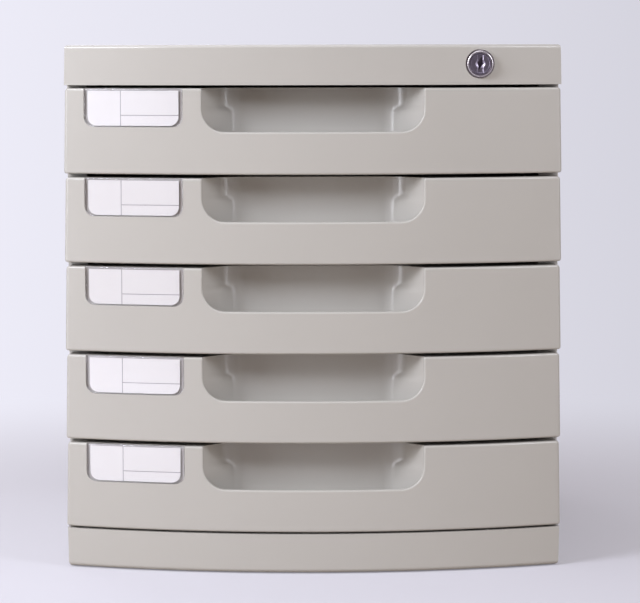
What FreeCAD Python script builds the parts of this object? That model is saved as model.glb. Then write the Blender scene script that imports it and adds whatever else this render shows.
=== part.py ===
import FreeCAD, Part
import math
import os

# Desktop file drawer: five trays in a moulded cabinet with a bowed front and a lock.
# Millimetres. +Z is up and the front faces -Y.
# The origin is under the middle of the cabinet, on the surface that it stands on.

VEC = FreeCAD.Vector
X_AXIS = VEC(1, 0, 0)
Y_AXIS = VEC(0, 1, 0)
Z_AXIS = VEC(0, 0, 1)
SIDES = {"left": -1, "right": 1}

# Overall sizes
cabinet_width = 300.0
cabinet_depth = 350.0
bow_rise = 29.0
foot_stand = 0.7
drawer_count = 5
drawer_gap = 2.2
skin = 2.5
overrun = 20.0

# Top cover
cover_height = 24.0
cover_draft = 0.5
cover_edge_round = 2.0
cover_gap = 1.8
cover_top_wall = 2.2
cover_rib_depth = 4.0
cover_rib_count = 4
cover_rib_setback = 48.0

# Plinth
plinth_height = 23.3
plinth_inset = 0.1
plinth_draft = 0.5
plinth_edge_round = 2.4
plinth_gap = 1.1
plinth_rib = 2.0
plinth_rib_depth = 4.0

# Side panels and back panel
carcass_inset = 0.5
flange_width = 12.0
flange_thickness = 2.5
front_reveal = 0.5
ledge_reach = 17.5
ledge_thickness = 2.0
guide_height = 7.0
guide_thickness = 2.0
guide_clearance = 0.6
stop_rib_height = 34.0
stop_rib_thickness = 2.6
stop_rib_setback = 40.6
back_panel_thickness = 2.5
back_panel_inset = 2.0
back_panel_frame = 14.0
back_panel_relief = 1.0

# Drawer fronts
front_height = 51.5
front_overhang = 0.4
front_flare = 0.9
front_side_depth = 15.5
front_top_corner = 2.0
front_bottom_corner = 1.6
front_edge_break = 0.8
front_rib = 1.6
front_rib_mouth_gap = 5.0
front_rib_side_gap = 32.0

# Finger recess
mouth_side_margin = 83.8
mouth_depth = 26.0
mouth_corner = 13.5
mouth_lead = 1.4
recess_back_inset = 1.0
recess_floor_drop = 6.0
recess_wall = 2.0
recess_step_depth = 12.8
recess_low_margin = 19.6
recess_low_corner = 4.8
recess_high_margin = 15.2
recess_high_corner = 10.0
recess_step_round = 1.8

# Label holder and card
label_width = 60.0
label_height = 23.2
label_side_margin = 12.2
label_corner = 6.0
label_seat_depth = 2.6
label_backing = 1.6
label_fit = 0.1
holder_front_wall = 1.0
holder_slot = 0.6
holder_rail = 2.2
holder_floor = 0.6
card_thickness = 0.3
card_top_drop = 1.5
card_fit = 0.15

# Drawer trays
tray_lift = 3.2
tray_top_gap = 3.3
tray_wall = 2.2
tray_clearance = 1.0
tray_front_gap = 1.0
tray_rear_gap = 6.5
tray_corner = 5.0
tray_floor_chamfer = 1.2
tray_rim_width = 1.2
tray_rim_height = 2.0
tray_rear_flange = 1.4
tray_rear_flange_length = 3.0
tray_floor_rib = 0.8
tray_floor_rib_width = 3.0
tray_floor_rib_count = 4
tray_floor_rib_inset = 38.0
runner_clearance = 0.3

# Snap hooks that hold a front on its tray
snap_width = 10.0
snap_thickness = 2.0
snap_barb = 1.4
snap_barb_length = 2.2
snap_slot_fit = 0.4
snap_rise = 12.0

# Lock
lock_side_margin = 50.0
lock_rise = 0.4
bezel_diameter = 17.0
bezel_thickness = 2.0
bezel_chamfer = 0.7
seat_clearance = 0.3
lock_boss_diameter = 21.0
lock_boss_depth = 6.0
barrel_diameter = 13.6
barrel_length = 25.0
barrel_fit = 0.2
plug_head_diameter = 13.2
plug_head_thickness = 1.1
plug_head_recess = 0.5
plug_diameter = 10.0
plug_fit = 0.05
plug_end_play = 0.1
dish_diameter = 5.6
dish_depth = 1.2
keyway_width = 1.8
keyway_height = 9.4
keyway_depth = 12.0
tang_size = 6.0
nut_flats = 17.4
nut_sides = 6
nut_thickness = 4.0
cam_thickness = 2.0
cam_gap = 0.3
cam_hub_diameter = 11.0
cam_tip_diameter = 7.0
crank_radius = 6.5
crank_rest_angle = -45.0
crank_pin_diameter = 3.5
cam_screw_diameter = 3.0
cam_screw_length = 8.0
cam_screw_head_diameter = 6.0
cam_screw_head_height = 1.8
cam_screw_slot = 0.8

# Locking bar, with one hook for each drawer
bar_thickness = 1.5
bar_width = 9.0
bar_flange_gap = 1.0
bar_slot_fit = 0.5
arm_height = 7.8
arm_slot_fit = 0.4
arm_end_land = 3.0
hook_clearance = 1.7
hook_reach = 5.7
hook_length = 5.0
hook_height = 6.0
hook_rise = 12.2
catch_reach = 5.5
catch_gap = 1.0
catch_length = 6.5
catch_height = 5.0
catch_plate_height = 12.0
catch_plate_thickness = 0.8
catch_window_fit = 0.8

# Feet and screws
foot_diameter = 16.0
foot_thickness = 4.0
foot_chamfer = 0.8
foot_side_inset = 24.0
foot_front_inset = 56.0
foot_back_inset = 24.0
foot_pad_wall = 2.5
screw_diameter = 3.0
screw_length = 10.0
screw_head_diameter = 6.0
screw_head_taper = 0.8
screw_head_height = 1.6
screw_boss_wall = 2.0
screw_column_inset = 5.6
screw_end_inset = 20.0
screw_front_inset = 40.0
back_screw_rows = 3

# Places that follow from the sizes above
half_width = cabinet_width / 2
drawer_pitch = front_height + drawer_gap
tray_height = front_height - tray_lift - tray_top_gap
bow_radius = (half_width ** 2 + bow_rise ** 2) / (2 * bow_rise)
front_y = -cabinet_depth / 2
rear_y = cabinet_depth / 2
edge_y = front_y + bow_rise
bow_centre_y = front_y + bow_radius
plinth_top = foot_stand + plinth_height
first_front_z = plinth_top + plinth_gap
fronts_top = first_front_z + (drawer_count - 1) * drawer_pitch + front_height
cover_bottom = fronts_top + cover_gap
cover_top = cover_bottom + cover_height
front_back_y = edge_y + front_side_depth
carcass_front_y = front_back_y + front_reveal
back_panel_y = rear_y - back_panel_inset - back_panel_thickness
panel_outer = half_width - carcass_inset
panel_inner = panel_outer - skin
flange_inner = panel_outer - flange_width
ledge_inner = panel_outer - ledge_reach
tray_half_width = flange_inner - tray_clearance
guide_inner = tray_half_width + guide_clearance
recess_back_y = edge_y - recess_back_inset
tray_front_y = recess_back_y + recess_wall + tray_front_gap
tray_rear_y = back_panel_y - tray_rear_gap
rear_flange_y = tray_rear_y - tray_rear_flange_length
stop_rib_y = carcass_front_y + stop_rib_setback
plinth_half = half_width - plinth_inset
front_half = half_width + front_overhang
mouth_half = half_width - mouth_side_margin
recess_low_half = mouth_half - recess_low_margin
recess_high_half = mouth_half - recess_high_margin
label_centre = -(half_width - label_side_margin - label_width / 2)
inner_rib_x = mouth_half + front_rib_mouth_gap
outer_rib_x = half_width - front_rib_side_gap
snap_x = (inner_rib_x + outer_rib_x) / 2
lock_centre = half_width - lock_side_margin
lock_z = cover_bottom + cover_height / 2 + lock_rise
lock_seat_y = bow_centre_y - math.sqrt(bow_radius ** 2 - lock_centre ** 2)
bezel_front_y = lock_seat_y - bezel_thickness
barrel_end_y = lock_seat_y + barrel_length
cam_front_y = barrel_end_y + cam_gap
cam_back_y = cam_front_y + cam_thickness
bar_front_y = carcass_front_y + flange_thickness + bar_flange_gap
bar_back_y = bar_front_y + bar_width
hook_inner = guide_inner + hook_clearance - guide_clearance
bar_inner = hook_inner + hook_reach
bar_outer = bar_inner + bar_thickness
bar_lift = -2 * crank_radius * math.sin(math.radians(crank_rest_angle))
catch_y = bar_back_y + catch_gap
pin_x = lock_centre + crank_radius * math.cos(math.radians(crank_rest_angle))
pin_z = lock_z + crank_radius * math.sin(math.radians(crank_rest_angle))


def front_z(number):
    """Bottom of a drawer front. Drawer 1 is the top one."""
    return first_front_z + (drawer_count - number) * drawer_pitch


def tray_z(number):
    return front_z(number) + tray_lift


def ledge_z(number):
    return tray_z(number) - runner_clearance


def hook_z(number):
    return tray_z(number) + hook_rise


def catch_z(number):
    """Bottom of a catch, which the lifted hook faces."""
    return hook_z(number) + bar_lift + (hook_height - catch_height) / 2


def bow_y(x, inset=0.0):
    """The bowed face, or a face that lies behind it by the inset, at a place across."""
    return bow_centre_y - math.sqrt((bow_radius - inset) ** 2 - x ** 2)


# Helpers that make outlines and plain solids

def box(low, high):
    size = [b - a for a, b in zip(low, high)]
    return Part.makeBox(size[0], size[1], size[2], VEC(*low))


def side_box(side, x_span, y_span, z_span):
    """A box given for the right side, put on the side that is asked for."""
    xs = sorted(side * x for x in x_span)
    return box((xs[0], y_span[0], z_span[0]), (xs[1], y_span[1], z_span[1]))


def rod(x, z, diameter, y_start, y_end):
    return Part.makeCylinder(diameter / 2, y_end - y_start, VEC(x, y_start, z), Y_AXIS)


def post(x, y, diameter, z_start, z_end):
    return Part.makeCylinder(diameter / 2, z_end - z_start, VEC(x, y, z_start), Z_AXIS)


def rounded_outline(corners, radii, lift):
    """A closed wire through corners, each rounded by its radius. lift places a 2D point."""
    edges = []
    count = len(corners)
    stretches = []
    for i in range(count):
        before = VEC(*corners[i - 1], 0)
        here = VEC(*corners[i], 0)
        after = VEC(*corners[(i + 1) % count], 0)
        into = (here - before).normalize()
        out = (after - here).normalize()
        turn = into.getAngle(out)
        reach = radii[i] * math.tan(turn / 2)
        start = here - into * reach
        end = here + out * reach
        middle = None
        if radii[i] > 0:
            bisector = (out - into).normalize()
            centre = here + bisector * (radii[i] / math.cos(turn / 2))
            middle = centre - bisector * radii[i]
        stretches.append((start, middle, end))
    for i in range(count):
        start, middle, end = stretches[i]
        if middle is not None:
            arc = Part.Arc(lift(start), lift(middle), lift(end))
            edges.append(arc.toShape())
        following = stretches[(i + 1) % count][0]
        if (following - end).Length > Part.Precision.confusion():
            edges.append(Part.LineSegment(lift(end), lift(following)).toShape())
    return Part.Wire(edges)


def plan_prism(corners, radii, z_start, z_end):
    """A solid with a rounded outline seen from above."""
    wire = rounded_outline(corners, radii, lambda p: VEC(p.x, p.y, z_start))
    return Part.Face(wire).extrude(Z_AXIS * (z_end - z_start))


def elevation_prism(corners, radii, y_start, y_end):
    """A solid with a rounded outline seen from the front."""
    wire = rounded_outline(corners, radii, lambda p: VEC(p.x, y_start, p.y))
    return Part.Face(wire).extrude(Y_AXIS * (y_end - y_start))


def section_prism(corners, radii, x_start, x_end):
    """A solid with a rounded outline seen from the side."""
    wire = rounded_outline(corners, radii, lambda p: VEC(x_start, p.x, p.y))
    return Part.Face(wire).extrude(X_AXIS * (x_end - x_start))


def bowed_prism(half_width, y_back, z_start, z_end, inset=0.0):
    """A solid whose front follows the bow and whose sides and back are straight."""
    left = VEC(-half_width, bow_y(half_width, inset), z_start)
    right = VEC(half_width, bow_y(half_width, inset), z_start)
    crown = VEC(0, front_y + inset, z_start)
    back_right = VEC(half_width, y_back, z_start)
    back_left = VEC(-half_width, y_back, z_start)
    edges = [Part.Arc(left, crown, right).toShape()]
    for start, end in ((right, back_right), (back_right, back_left), (back_left, left)):
        edges.append(Part.LineSegment(start, end).toShape())
    return Part.Face(Part.Wire(edges)).extrude(Z_AXIS * (z_end - z_start))


def trapezoid(bottom_width, top_width, z_start, z_end):
    return [
        (-bottom_width / 2, z_start),
        (bottom_width / 2, z_start),
        (top_width / 2, z_end),
        (-top_width / 2, z_end),
    ]


def round_edges(solid, radius, wanted):
    edges = [edge for edge in solid.Edges if wanted(edge)]
    return solid.makeFillet(radius, edges)


def fuse_all(solids):
    return solids[0].fuse(solids[1:]).removeSplitter()


def is_upright_front(edge):
    """The two front corners of a bowed shell."""
    bounds = edge.BoundBox
    tall = bounds.ZLength > 2 * max(bounds.XLength, bounds.YLength)
    return tall and bounds.YMax < edge_y + skin


# Places of the fasteners

def column_places():
    """Where screws join the side panels to the plinth and to the cover."""
    places = []
    for side in SIDES.values():
        for y in (carcass_front_y + screw_front_inset, back_panel_y - screw_end_inset):
            places.append((side * (panel_outer - screw_column_inset), y))
    return places


def back_screw_places():
    places = []
    low = plinth_top + screw_end_inset
    step = (cover_bottom - screw_end_inset - low) / (back_screw_rows - 1)
    for side in SIDES.values():
        for i in range(back_screw_rows):
            places.append((side * (panel_outer - screw_column_inset), low + i * step))
    return places


def square_post(x, y, size, z_start, z_end):
    return box((x - size / 2, y - size / 2, z_start), (x + size / 2, y + size / 2, z_end))


# Top cover

def cover_shell():
    body = bowed_prism(half_width, rear_y, cover_bottom, cover_top)
    profile = trapezoid(cabinet_width, cabinet_width - 2 * cover_draft, cover_bottom, cover_top)
    body = body.common(elevation_prism(profile, [0] * len(profile), front_y - overrun, rear_y + overrun))

    def rounded(edge):
        on_top = edge.BoundBox.ZMin > cover_top - skin
        return on_top or is_upright_front(edge)

    body = round_edges(body, cover_edge_round, rounded)
    ceiling = cover_top - cover_top_wall
    return body.cut(bowed_prism(half_width - skin, rear_y - skin, cover_bottom - overrun, ceiling, skin))


def cover_ribs():
    """Cross ribs that stiffen the top of the cover from below."""
    ribs = []
    ceiling = cover_top - cover_top_wall
    first = carcass_front_y + cover_rib_setback
    step = (back_panel_y - first) / cover_rib_count
    for i in range(cover_rib_count):
        y = first + i * step
        low = (-half_width + skin, y, ceiling - cover_rib_depth)
        ribs.append(box(low, (half_width - skin, y + plinth_rib, ceiling)))
    return ribs


def top_cover():
    boss = rod(lock_centre, lock_z, lock_boss_diameter, lock_seat_y, lock_seat_y + lock_boss_depth)
    boss = boss.common(bowed_prism(half_width, rear_y, cover_bottom, cover_top, skin / 2))
    seat_diameter = bezel_diameter + 2 * seat_clearance
    pad = rod(lock_centre, lock_z, seat_diameter, lock_seat_y, lock_seat_y + lock_boss_depth)
    parts = [cover_shell(), boss, pad] + cover_ribs()
    for x, y in column_places():
        size = screw_diameter + 2 * screw_boss_wall
        parts.append(square_post(x, y, size, cover_bottom, cover_top - cover_top_wall))
    cover = fuse_all(parts)
    cuts = [
        rod(lock_centre, lock_z, seat_diameter, front_y - overrun, lock_seat_y),
        rod(lock_centre, lock_z, barrel_diameter + 2 * barrel_fit, front_y, lock_seat_y + overrun),
    ]
    for x, y in column_places():
        depth = screw_length - ledge_thickness
        cuts.append(post(x, y, screw_diameter, cover_bottom - overrun, cover_bottom + depth))
    return cover.cut(cuts)


# Plinth

def foot_places():
    x = plinth_half - foot_side_inset
    places = []
    for side in SIDES.values():
        places.append((side * x, front_y + foot_front_inset))
        places.append((side * x, rear_y - foot_back_inset))
    return places


def base_plinth():
    body = bowed_prism(plinth_half, rear_y, foot_stand, plinth_top)
    profile = trapezoid(2 * (plinth_half - plinth_draft), 2 * plinth_half, foot_stand, plinth_top)
    body = body.common(elevation_prism(profile, [0] * len(profile), front_y - overrun, rear_y + overrun))

    def rounded(edge):
        at_bottom = edge.BoundBox.ZMax < foot_stand + skin
        return at_bottom or is_upright_front(edge)

    body = round_edges(body, plinth_edge_round, rounded)
    deck_z = plinth_top - skin
    wall = skin + plinth_draft
    body = body.cut(bowed_prism(plinth_half - wall, rear_y - skin, foot_stand - overrun, deck_z, skin))
    inside = bowed_prism(plinth_half - wall, rear_y - skin, foot_stand, deck_z, skin)
    rib_z = deck_z - plinth_rib_depth
    ribs = []
    for share in (-1, 0, 1):
        x = share * half_width / 2
        ribs.append(box((x - plinth_rib / 2, front_y, rib_z), (x + plinth_rib / 2, rear_y, deck_z)))
        y = share * cabinet_depth / 4
        half_rib = plinth_rib / 2
        ribs.append(box((-plinth_half, y - half_rib, rib_z), (plinth_half, y + half_rib, deck_z)))
    for x, y in foot_places():
        ribs.append(square_post(x, y, foot_diameter + 2 * foot_pad_wall, foot_stand, deck_z))
    for x, y in column_places():
        size = screw_head_diameter + 2 * screw_boss_wall
        ribs.append(square_post(x, y, size, rib_z, deck_z))
    body = fuse_all([body] + [rib.common(inside) for rib in ribs])
    cuts = [post(x, y, foot_diameter, foot_stand - overrun, foot_thickness) for x, y in foot_places()]
    for x, y in column_places():
        cuts.append(post(x, y, screw_diameter, foot_stand, plinth_top + overrun))
        cuts.append(post(x, y, screw_head_diameter, foot_stand - overrun, deck_z))
    return body.cut(cuts)


def rubber_feet():
    feet = []
    for x, y in foot_places():
        foot = post(x, y, foot_diameter, foot_chamfer, foot_thickness)
        radius = foot_diameter / 2
        tread = Part.makeCone(radius - foot_chamfer, radius, foot_chamfer, VEC(x, y, 0), Z_AXIS)
        feet.append(foot.fuse(tread))
    return Part.makeCompound(feet)


# Side panels

def bar_slot(side, z_start, z_end):
    """Room for the locking bar through a ledge."""
    x_span = (guide_inner - bar_slot_fit, bar_outer + bar_slot_fit)
    y_span = (bar_front_y - bar_slot_fit, bar_back_y + bar_slot_fit)
    return side_box(side, x_span, y_span, (z_start, z_end))


def catch_window(side, number):
    """A notch in the front flange that lets a catch pass when its drawer is pulled out."""
    x_span = (flange_inner - overrun, tray_half_width + catch_reach + catch_window_fit)
    y_span = (carcass_front_y - overrun, carcass_front_y + flange_thickness + overrun / 4)
    z = catch_z(number) + catch_height / 2
    half = catch_plate_height / 2 + catch_window_fit
    return side_box(side, x_span, y_span, (z - half, z + half))


def runner(side, number):
    """One ledge with the rib that guides its tray, and the rib that stops it."""
    z = ledge_z(number)
    y_span = (carcass_front_y + flange_thickness / 2, back_panel_y)
    ledge = side_box(side, (ledge_inner, panel_inner), y_span, (z - ledge_thickness, z))
    guide = side_box(side, (guide_inner, guide_inner + guide_thickness), y_span, (z, z + guide_height))
    stop_span = (stop_rib_y - stop_rib_thickness, stop_rib_y)
    stop = side_box(side, (guide_inner, panel_inner), stop_span, (z, z + stop_rib_height))
    return [ledge, guide, stop]


def side_panel(side):
    height = (plinth_top, cover_bottom)
    depth = (carcass_front_y, back_panel_y)
    parts = [
        side_box(side, (panel_inner, panel_outer), depth, height),
        side_box(side, (flange_inner, panel_outer), (depth[0], depth[0] + flange_thickness), height),
        side_box(side, (flange_inner, panel_outer), (depth[1] - flange_thickness, depth[1]), height),
        side_box(side, (flange_inner, panel_outer), depth, (height[0], height[0] + ledge_thickness)),
        side_box(side, (flange_inner, panel_outer), depth, (height[1] - ledge_thickness, height[1])),
    ]
    for number in range(1, drawer_count + 1):
        parts += runner(side, number)
    boss = screw_diameter + 2 * screw_boss_wall
    back_screws_here = [(x, z) for x, z in back_screw_places() if x * side > 0]
    columns_here = [(x, y) for x, y in column_places() if x * side > 0]
    for x, z in back_screws_here:
        low = (x - boss / 2, back_panel_y - screw_length, z - boss / 2)
        parts.append(box(low, (x + boss / 2, back_panel_y, z + boss / 2)))
    for x, y in columns_here:
        parts.append(square_post(x, y, boss, plinth_top, plinth_top + screw_length))
    panel = fuse_all(parts)
    cuts = []
    for x, z in back_screws_here:
        cuts.append(rod(x, z, screw_diameter, back_panel_y - screw_length, back_panel_y + overrun))
    for x, y in columns_here:
        cuts.append(post(x, y, screw_diameter, plinth_top - overrun, plinth_top + screw_length))
        cuts.append(post(x, y, screw_diameter, cover_bottom - ledge_thickness, cover_bottom + overrun))
    if side > 0:
        for number in range(1, drawer_count + 1):
            z = ledge_z(number)
            cuts.append(bar_slot(side, z - 2 * ledge_thickness, z + guide_height + ledge_thickness))
            cuts.append(catch_window(side, number))
        cuts.append(bar_slot(side, cover_bottom - 2 * ledge_thickness, cover_bottom + overrun))
    return round_edges(panel.cut(cuts), front_reveal, is_panel_front_corner)


def is_panel_front_corner(edge):
    """The outer front corner of a side panel, which shows between the fronts."""
    bounds = edge.BoundBox
    outer = min(abs(bounds.XMin), abs(bounds.XMax)) > panel_outer - ledge_thickness / 2
    return outer and bounds.YMax < carcass_front_y + ledge_thickness / 2 and bounds.ZLength > drawer_pitch


# Back panel

def back_panel():
    low = (-panel_outer, back_panel_y, plinth_top)
    high = (panel_outer, back_panel_y + back_panel_thickness, cover_bottom)
    panel = box(low, high)
    field = [
        (-panel_outer + back_panel_frame, plinth_top + back_panel_frame),
        (panel_outer - back_panel_frame, plinth_top + back_panel_frame),
        (panel_outer - back_panel_frame, cover_bottom - back_panel_frame),
        (-panel_outer + back_panel_frame, cover_bottom - back_panel_frame),
    ]
    face_y = back_panel_y + back_panel_thickness
    radii = [tray_corner] * len(field)
    relief = elevation_prism(field, radii, face_y - back_panel_relief, face_y + overrun)
    holes = []
    for x, z in back_screw_places():
        holes.append(rod(x, z, screw_diameter, back_panel_y - overrun, face_y + overrun))
    return panel.cut([relief] + holes)


# Screws

def screw_along(start, direction, length):
    """A pan head screw whose head seats at the start, with its shank going along the direction."""
    shank = Part.makeCylinder(screw_diameter / 2, length, start, direction)
    seat_radius = screw_head_diameter / 2
    top_radius = seat_radius - screw_head_taper
    head = Part.makeCone(seat_radius, top_radius, screw_head_height, start, direction * -1)
    return shank.fuse(head)


def back_screws():
    face_y = back_panel_y + back_panel_thickness
    screws = []
    for x, z in back_screw_places():
        screws.append(screw_along(VEC(x, face_y, z), Y_AXIS * -1, screw_length))
    return Part.makeCompound(screws)


def plinth_screws():
    screws = []
    for x, y in column_places():
        screws.append(screw_along(VEC(x, y, plinth_top - skin), Z_AXIS, screw_length))
    return Part.makeCompound(screws)


def cover_screws():
    screws = []
    for x, y in column_places():
        seat = VEC(x, y, cover_bottom - ledge_thickness)
        screws.append(screw_along(seat, Z_AXIS, screw_length))
    return Part.makeCompound(screws)


# Lock

def lock_housing():
    bezel = rod(lock_centre, lock_z, bezel_diameter, bezel_front_y, lock_seat_y)
    rim = [e for e in bezel.Edges if e.BoundBox.YMax < bezel_front_y + bezel_thickness / 2]
    bezel = bezel.makeChamfer(bezel_chamfer, rim)
    barrel = rod(lock_centre, lock_z, barrel_diameter, lock_seat_y, barrel_end_y)
    body = bezel.fuse(barrel)
    head_floor = bezel_front_y + plug_head_recess + plug_head_thickness
    mouth = rod(lock_centre, lock_z, plug_head_diameter + 2 * plug_fit, bezel_front_y - overrun, head_floor)
    bore = rod(lock_centre, lock_z, plug_diameter + 2 * plug_fit, bezel_front_y, barrel_end_y + overrun)
    cone = Part.makeCone(
        plug_head_diameter / 2 + bezel_chamfer + plug_fit,
        plug_head_diameter / 2 + plug_fit,
        bezel_chamfer,
        VEC(lock_centre, bezel_front_y, lock_z),
        Y_AXIS,
    )
    return body.cut([mouth, bore, cone])


def lock_nut():
    half = nut_flats / 2
    corner = half / math.cos(math.pi / nut_sides)
    corners = []
    for i in range(nut_sides):
        angle = 2 * math.pi * i / nut_sides
        corners.append((lock_centre + corner * math.cos(angle), lock_z + corner * math.sin(angle)))
    y = lock_seat_y + lock_boss_depth
    nut = elevation_prism(corners, [0] * nut_sides, y, y + nut_thickness)
    return nut.cut(rod(lock_centre, lock_z, barrel_diameter + 2 * plug_fit, y - overrun, y + overrun))


def lock_plug():
    head_y = bezel_front_y + plug_head_recess
    neck_y = head_y + plug_head_thickness - plug_end_play
    head = rod(lock_centre, lock_z, plug_head_diameter, head_y, neck_y)
    shank = rod(lock_centre, lock_z, plug_diameter, neck_y, cam_front_y)
    half = tang_size / 2
    tang_low = (lock_centre - half, cam_front_y, lock_z - half)
    tang = box(tang_low, (lock_centre + half, cam_back_y, lock_z + half))
    plug = fuse_all([head, shank, tang])
    dish = Part.makeCone(
        dish_diameter / 2,
        dish_diameter / 4,
        dish_depth,
        VEC(lock_centre, head_y, lock_z),
        Y_AXIS,
    )
    key_low = (lock_centre - keyway_width / 2, head_y - overrun, lock_z - keyway_height / 2)
    key_high = (lock_centre + keyway_width / 2, head_y + keyway_depth, lock_z + keyway_height / 2)
    hole_y = cam_back_y - cam_screw_length
    tapped = rod(lock_centre, lock_z, cam_screw_diameter, hole_y, cam_back_y + overrun)
    return plug.cut([dish, box(key_low, key_high), tapped])


def lock_cam():
    hub = rod(lock_centre, lock_z, cam_hub_diameter, cam_front_y, cam_back_y)
    tip = rod(pin_x, pin_z, cam_tip_diameter, cam_front_y, cam_back_y)
    pin_end = bar_front_y + bar_thickness + cam_thickness
    pin = rod(pin_x, pin_z, crank_pin_diameter, cam_front_y, pin_end)
    hub_half = cam_hub_diameter / 2
    tip_half = cam_tip_diameter / 2
    corners = [(0, -hub_half), (crank_radius, -tip_half), (crank_radius, tip_half), (0, hub_half)]
    web = elevation_prism(corners, [0] * len(corners), cam_front_y, cam_back_y)
    web.rotate(VEC(0, 0, 0), Y_AXIS, -crank_rest_angle)
    web.translate(VEC(lock_centre, 0, lock_z))
    half = tang_size / 2
    square_low = (lock_centre - half, cam_front_y - overrun, lock_z - half)
    square = box(square_low, (lock_centre + half, cam_back_y + overrun, lock_z + half))
    return fuse_all([hub, tip, web, pin]).cut(square)


def cam_screw():
    shank = rod(lock_centre, lock_z, cam_screw_diameter, cam_back_y - cam_screw_length, cam_back_y)
    radius = cam_screw_head_diameter / 2
    seat = VEC(lock_centre, cam_back_y, lock_z)
    head = Part.makeCone(radius, radius - screw_head_taper, cam_screw_head_height, seat, Y_AXIS)
    slot_half = cam_screw_slot / 2
    slot_low = (lock_centre - radius - overrun, cam_back_y + cam_screw_head_height / 2, lock_z - slot_half)
    slot = box(slot_low, (lock_centre + radius + overrun, cam_back_y + overrun, lock_z + slot_half))
    return shank.fuse(head).cut(slot)


# Locking bar

def locking_bar():
    arm_low = pin_z - arm_height / 2
    arm_high = pin_z + arm_height / 2
    strip = box((bar_inner, bar_front_y, first_front_z), (bar_outer, bar_back_y, arm_high))
    slot_half = crank_pin_diameter / 2 + arm_slot_fit
    slot_from = pin_x - slot_half - arm_slot_fit
    slot_to = lock_centre + crank_radius + slot_half + arm_slot_fit
    arm_end = slot_from - arm_end_land
    arm_corners = [(arm_end, arm_low), (bar_outer, arm_low), (bar_outer, arm_high), (arm_end, arm_high)]
    arm_radii = [arm_end_land, 0, 0, arm_end_land]
    arm = elevation_prism(arm_corners, arm_radii, bar_front_y, bar_front_y + bar_thickness)
    slot_corners = [
        (slot_from, pin_z - slot_half),
        (slot_to, pin_z - slot_half),
        (slot_to, pin_z + slot_half),
        (slot_from, pin_z + slot_half),
    ]
    end_round = slot_half - arm_slot_fit / 4
    slot_radii = [end_round] * len(slot_corners)
    slot = elevation_prism(slot_corners, slot_radii, bar_front_y - overrun, bar_front_y + overrun)
    return fuse_all([strip, arm]).cut(slot)


def bar_hooks():
    """The blocks that are riveted to the bar, one for each drawer."""
    hooks = []
    for number in range(1, drawer_count + 1):
        low = (hook_inner, bar_back_y - hook_length, hook_z(number))
        hooks.append(box(low, (bar_inner, bar_back_y, hook_z(number) + hook_height)))
    return Part.makeCompound(hooks)


# Drawer front

def front_profile(number):
    """The front seen from ahead: flared sides, round corners and the mouth of the recess."""
    bottom = front_z(number)
    top = bottom + front_height
    lip = top - mouth_depth
    top_half = front_half - front_flare
    corners = [
        (-front_half, bottom),
        (front_half, bottom),
        (top_half, top),
        (mouth_half, top),
        (mouth_half, lip),
        (-mouth_half, lip),
        (-mouth_half, top),
        (-top_half, top),
    ]
    radii = [
        front_bottom_corner,
        front_bottom_corner,
        front_top_corner,
        mouth_lead,
        mouth_corner,
        mouth_corner,
        mouth_lead,
        front_top_corner,
    ]
    return corners, radii


def recess_plan(half_back, corner, grow):
    """The recess seen from above. grow widens it by the wall for the shell round it."""
    y_back = recess_back_y + grow
    half_front = mouth_half + grow
    y_front = bow_y(mouth_half, skin)
    corners = [
        (-half_back - grow, y_back),
        (half_back + grow, y_back),
        (half_front, y_front),
        (half_front, front_y - overrun),
        (-half_front, front_y - overrun),
        (-half_front, y_front),
    ]
    radius = corner + grow
    return corners, [radius, radius, 0, 0, 0, 0]


def recess_solid(number, grow=0.0):
    """The pocket behind the mouth: a deep lower part and a wider upper part with a round step."""
    top = front_z(number) + front_height
    floor = top - mouth_depth - recess_floor_drop - grow
    step = top - recess_step_depth - grow
    ceiling = top if grow else top + overrun
    low_plan, low_radii = recess_plan(recess_low_half, recess_low_corner, grow)
    low = plan_prism(low_plan, low_radii, floor, ceiling)
    high_plan, high_radii = recess_plan(recess_high_half, recess_high_corner, grow)
    high = plan_prism(high_plan, high_radii, step, ceiling)
    if not grow:
        high = round_edges(high, recess_step_round, lambda e: is_recess_step_edge(e, step))
    solid = low.fuse(high)
    return solid.common(bowed_prism(front_half, carcass_front_y, floor, ceiling, skin))


def is_recess_step_edge(edge, z):
    """The edges round the step of the pocket, apart from those ahead of it."""
    bounds = edge.BoundBox
    low = bounds.ZMax < z + recess_step_round / 2
    return low and bounds.YMax > bow_y(mouth_half, skin) + recess_step_round / 2


def bowed_layer(inset_from, inset_to, z_start, z_end):
    """The space between two faces that follow the bow."""
    layer = bowed_prism(front_half, edge_y + overrun, z_start, z_end, inset_from)
    return layer.cut(bowed_prism(front_half, edge_y + 2 * overrun, z_start, z_end, inset_to))


def label_plate(number, grow, inset_from, inset_to, top_z):
    """A plate that follows the bow, with the outline of the label: round below, square above."""
    half = label_width / 2 + grow
    bottom = front_z(number) + front_height - label_height - grow
    corners = [
        (label_centre - half, bottom),
        (label_centre + half, bottom),
        (label_centre + half, top_z),
        (label_centre - half, top_z),
    ]
    radius = label_corner + grow
    slab = elevation_prism(corners, [radius, radius, 0, 0], front_y - overrun, edge_y + overrun)
    return slab.common(bowed_layer(inset_from, inset_to, bottom - overrun, top_z + overrun))


def snap_hook(x, z_low, upward):
    """A hook at the back of the front that grips behind the tray's front wall."""
    wall_back = tray_front_y + tray_wall + snap_slot_fit
    y_from = bow_y(abs(x), skin / 2)
    arm = [
        (y_from, z_low),
        (wall_back + snap_barb_length, z_low),
        (wall_back, z_low + upward * (snap_thickness + snap_barb)),
        (wall_back, z_low + upward * snap_thickness),
        (y_from, z_low + upward * snap_thickness),
    ]
    return section_prism(arm, [0] * len(arm), x - snap_width / 2, x + snap_width / 2)


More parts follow.
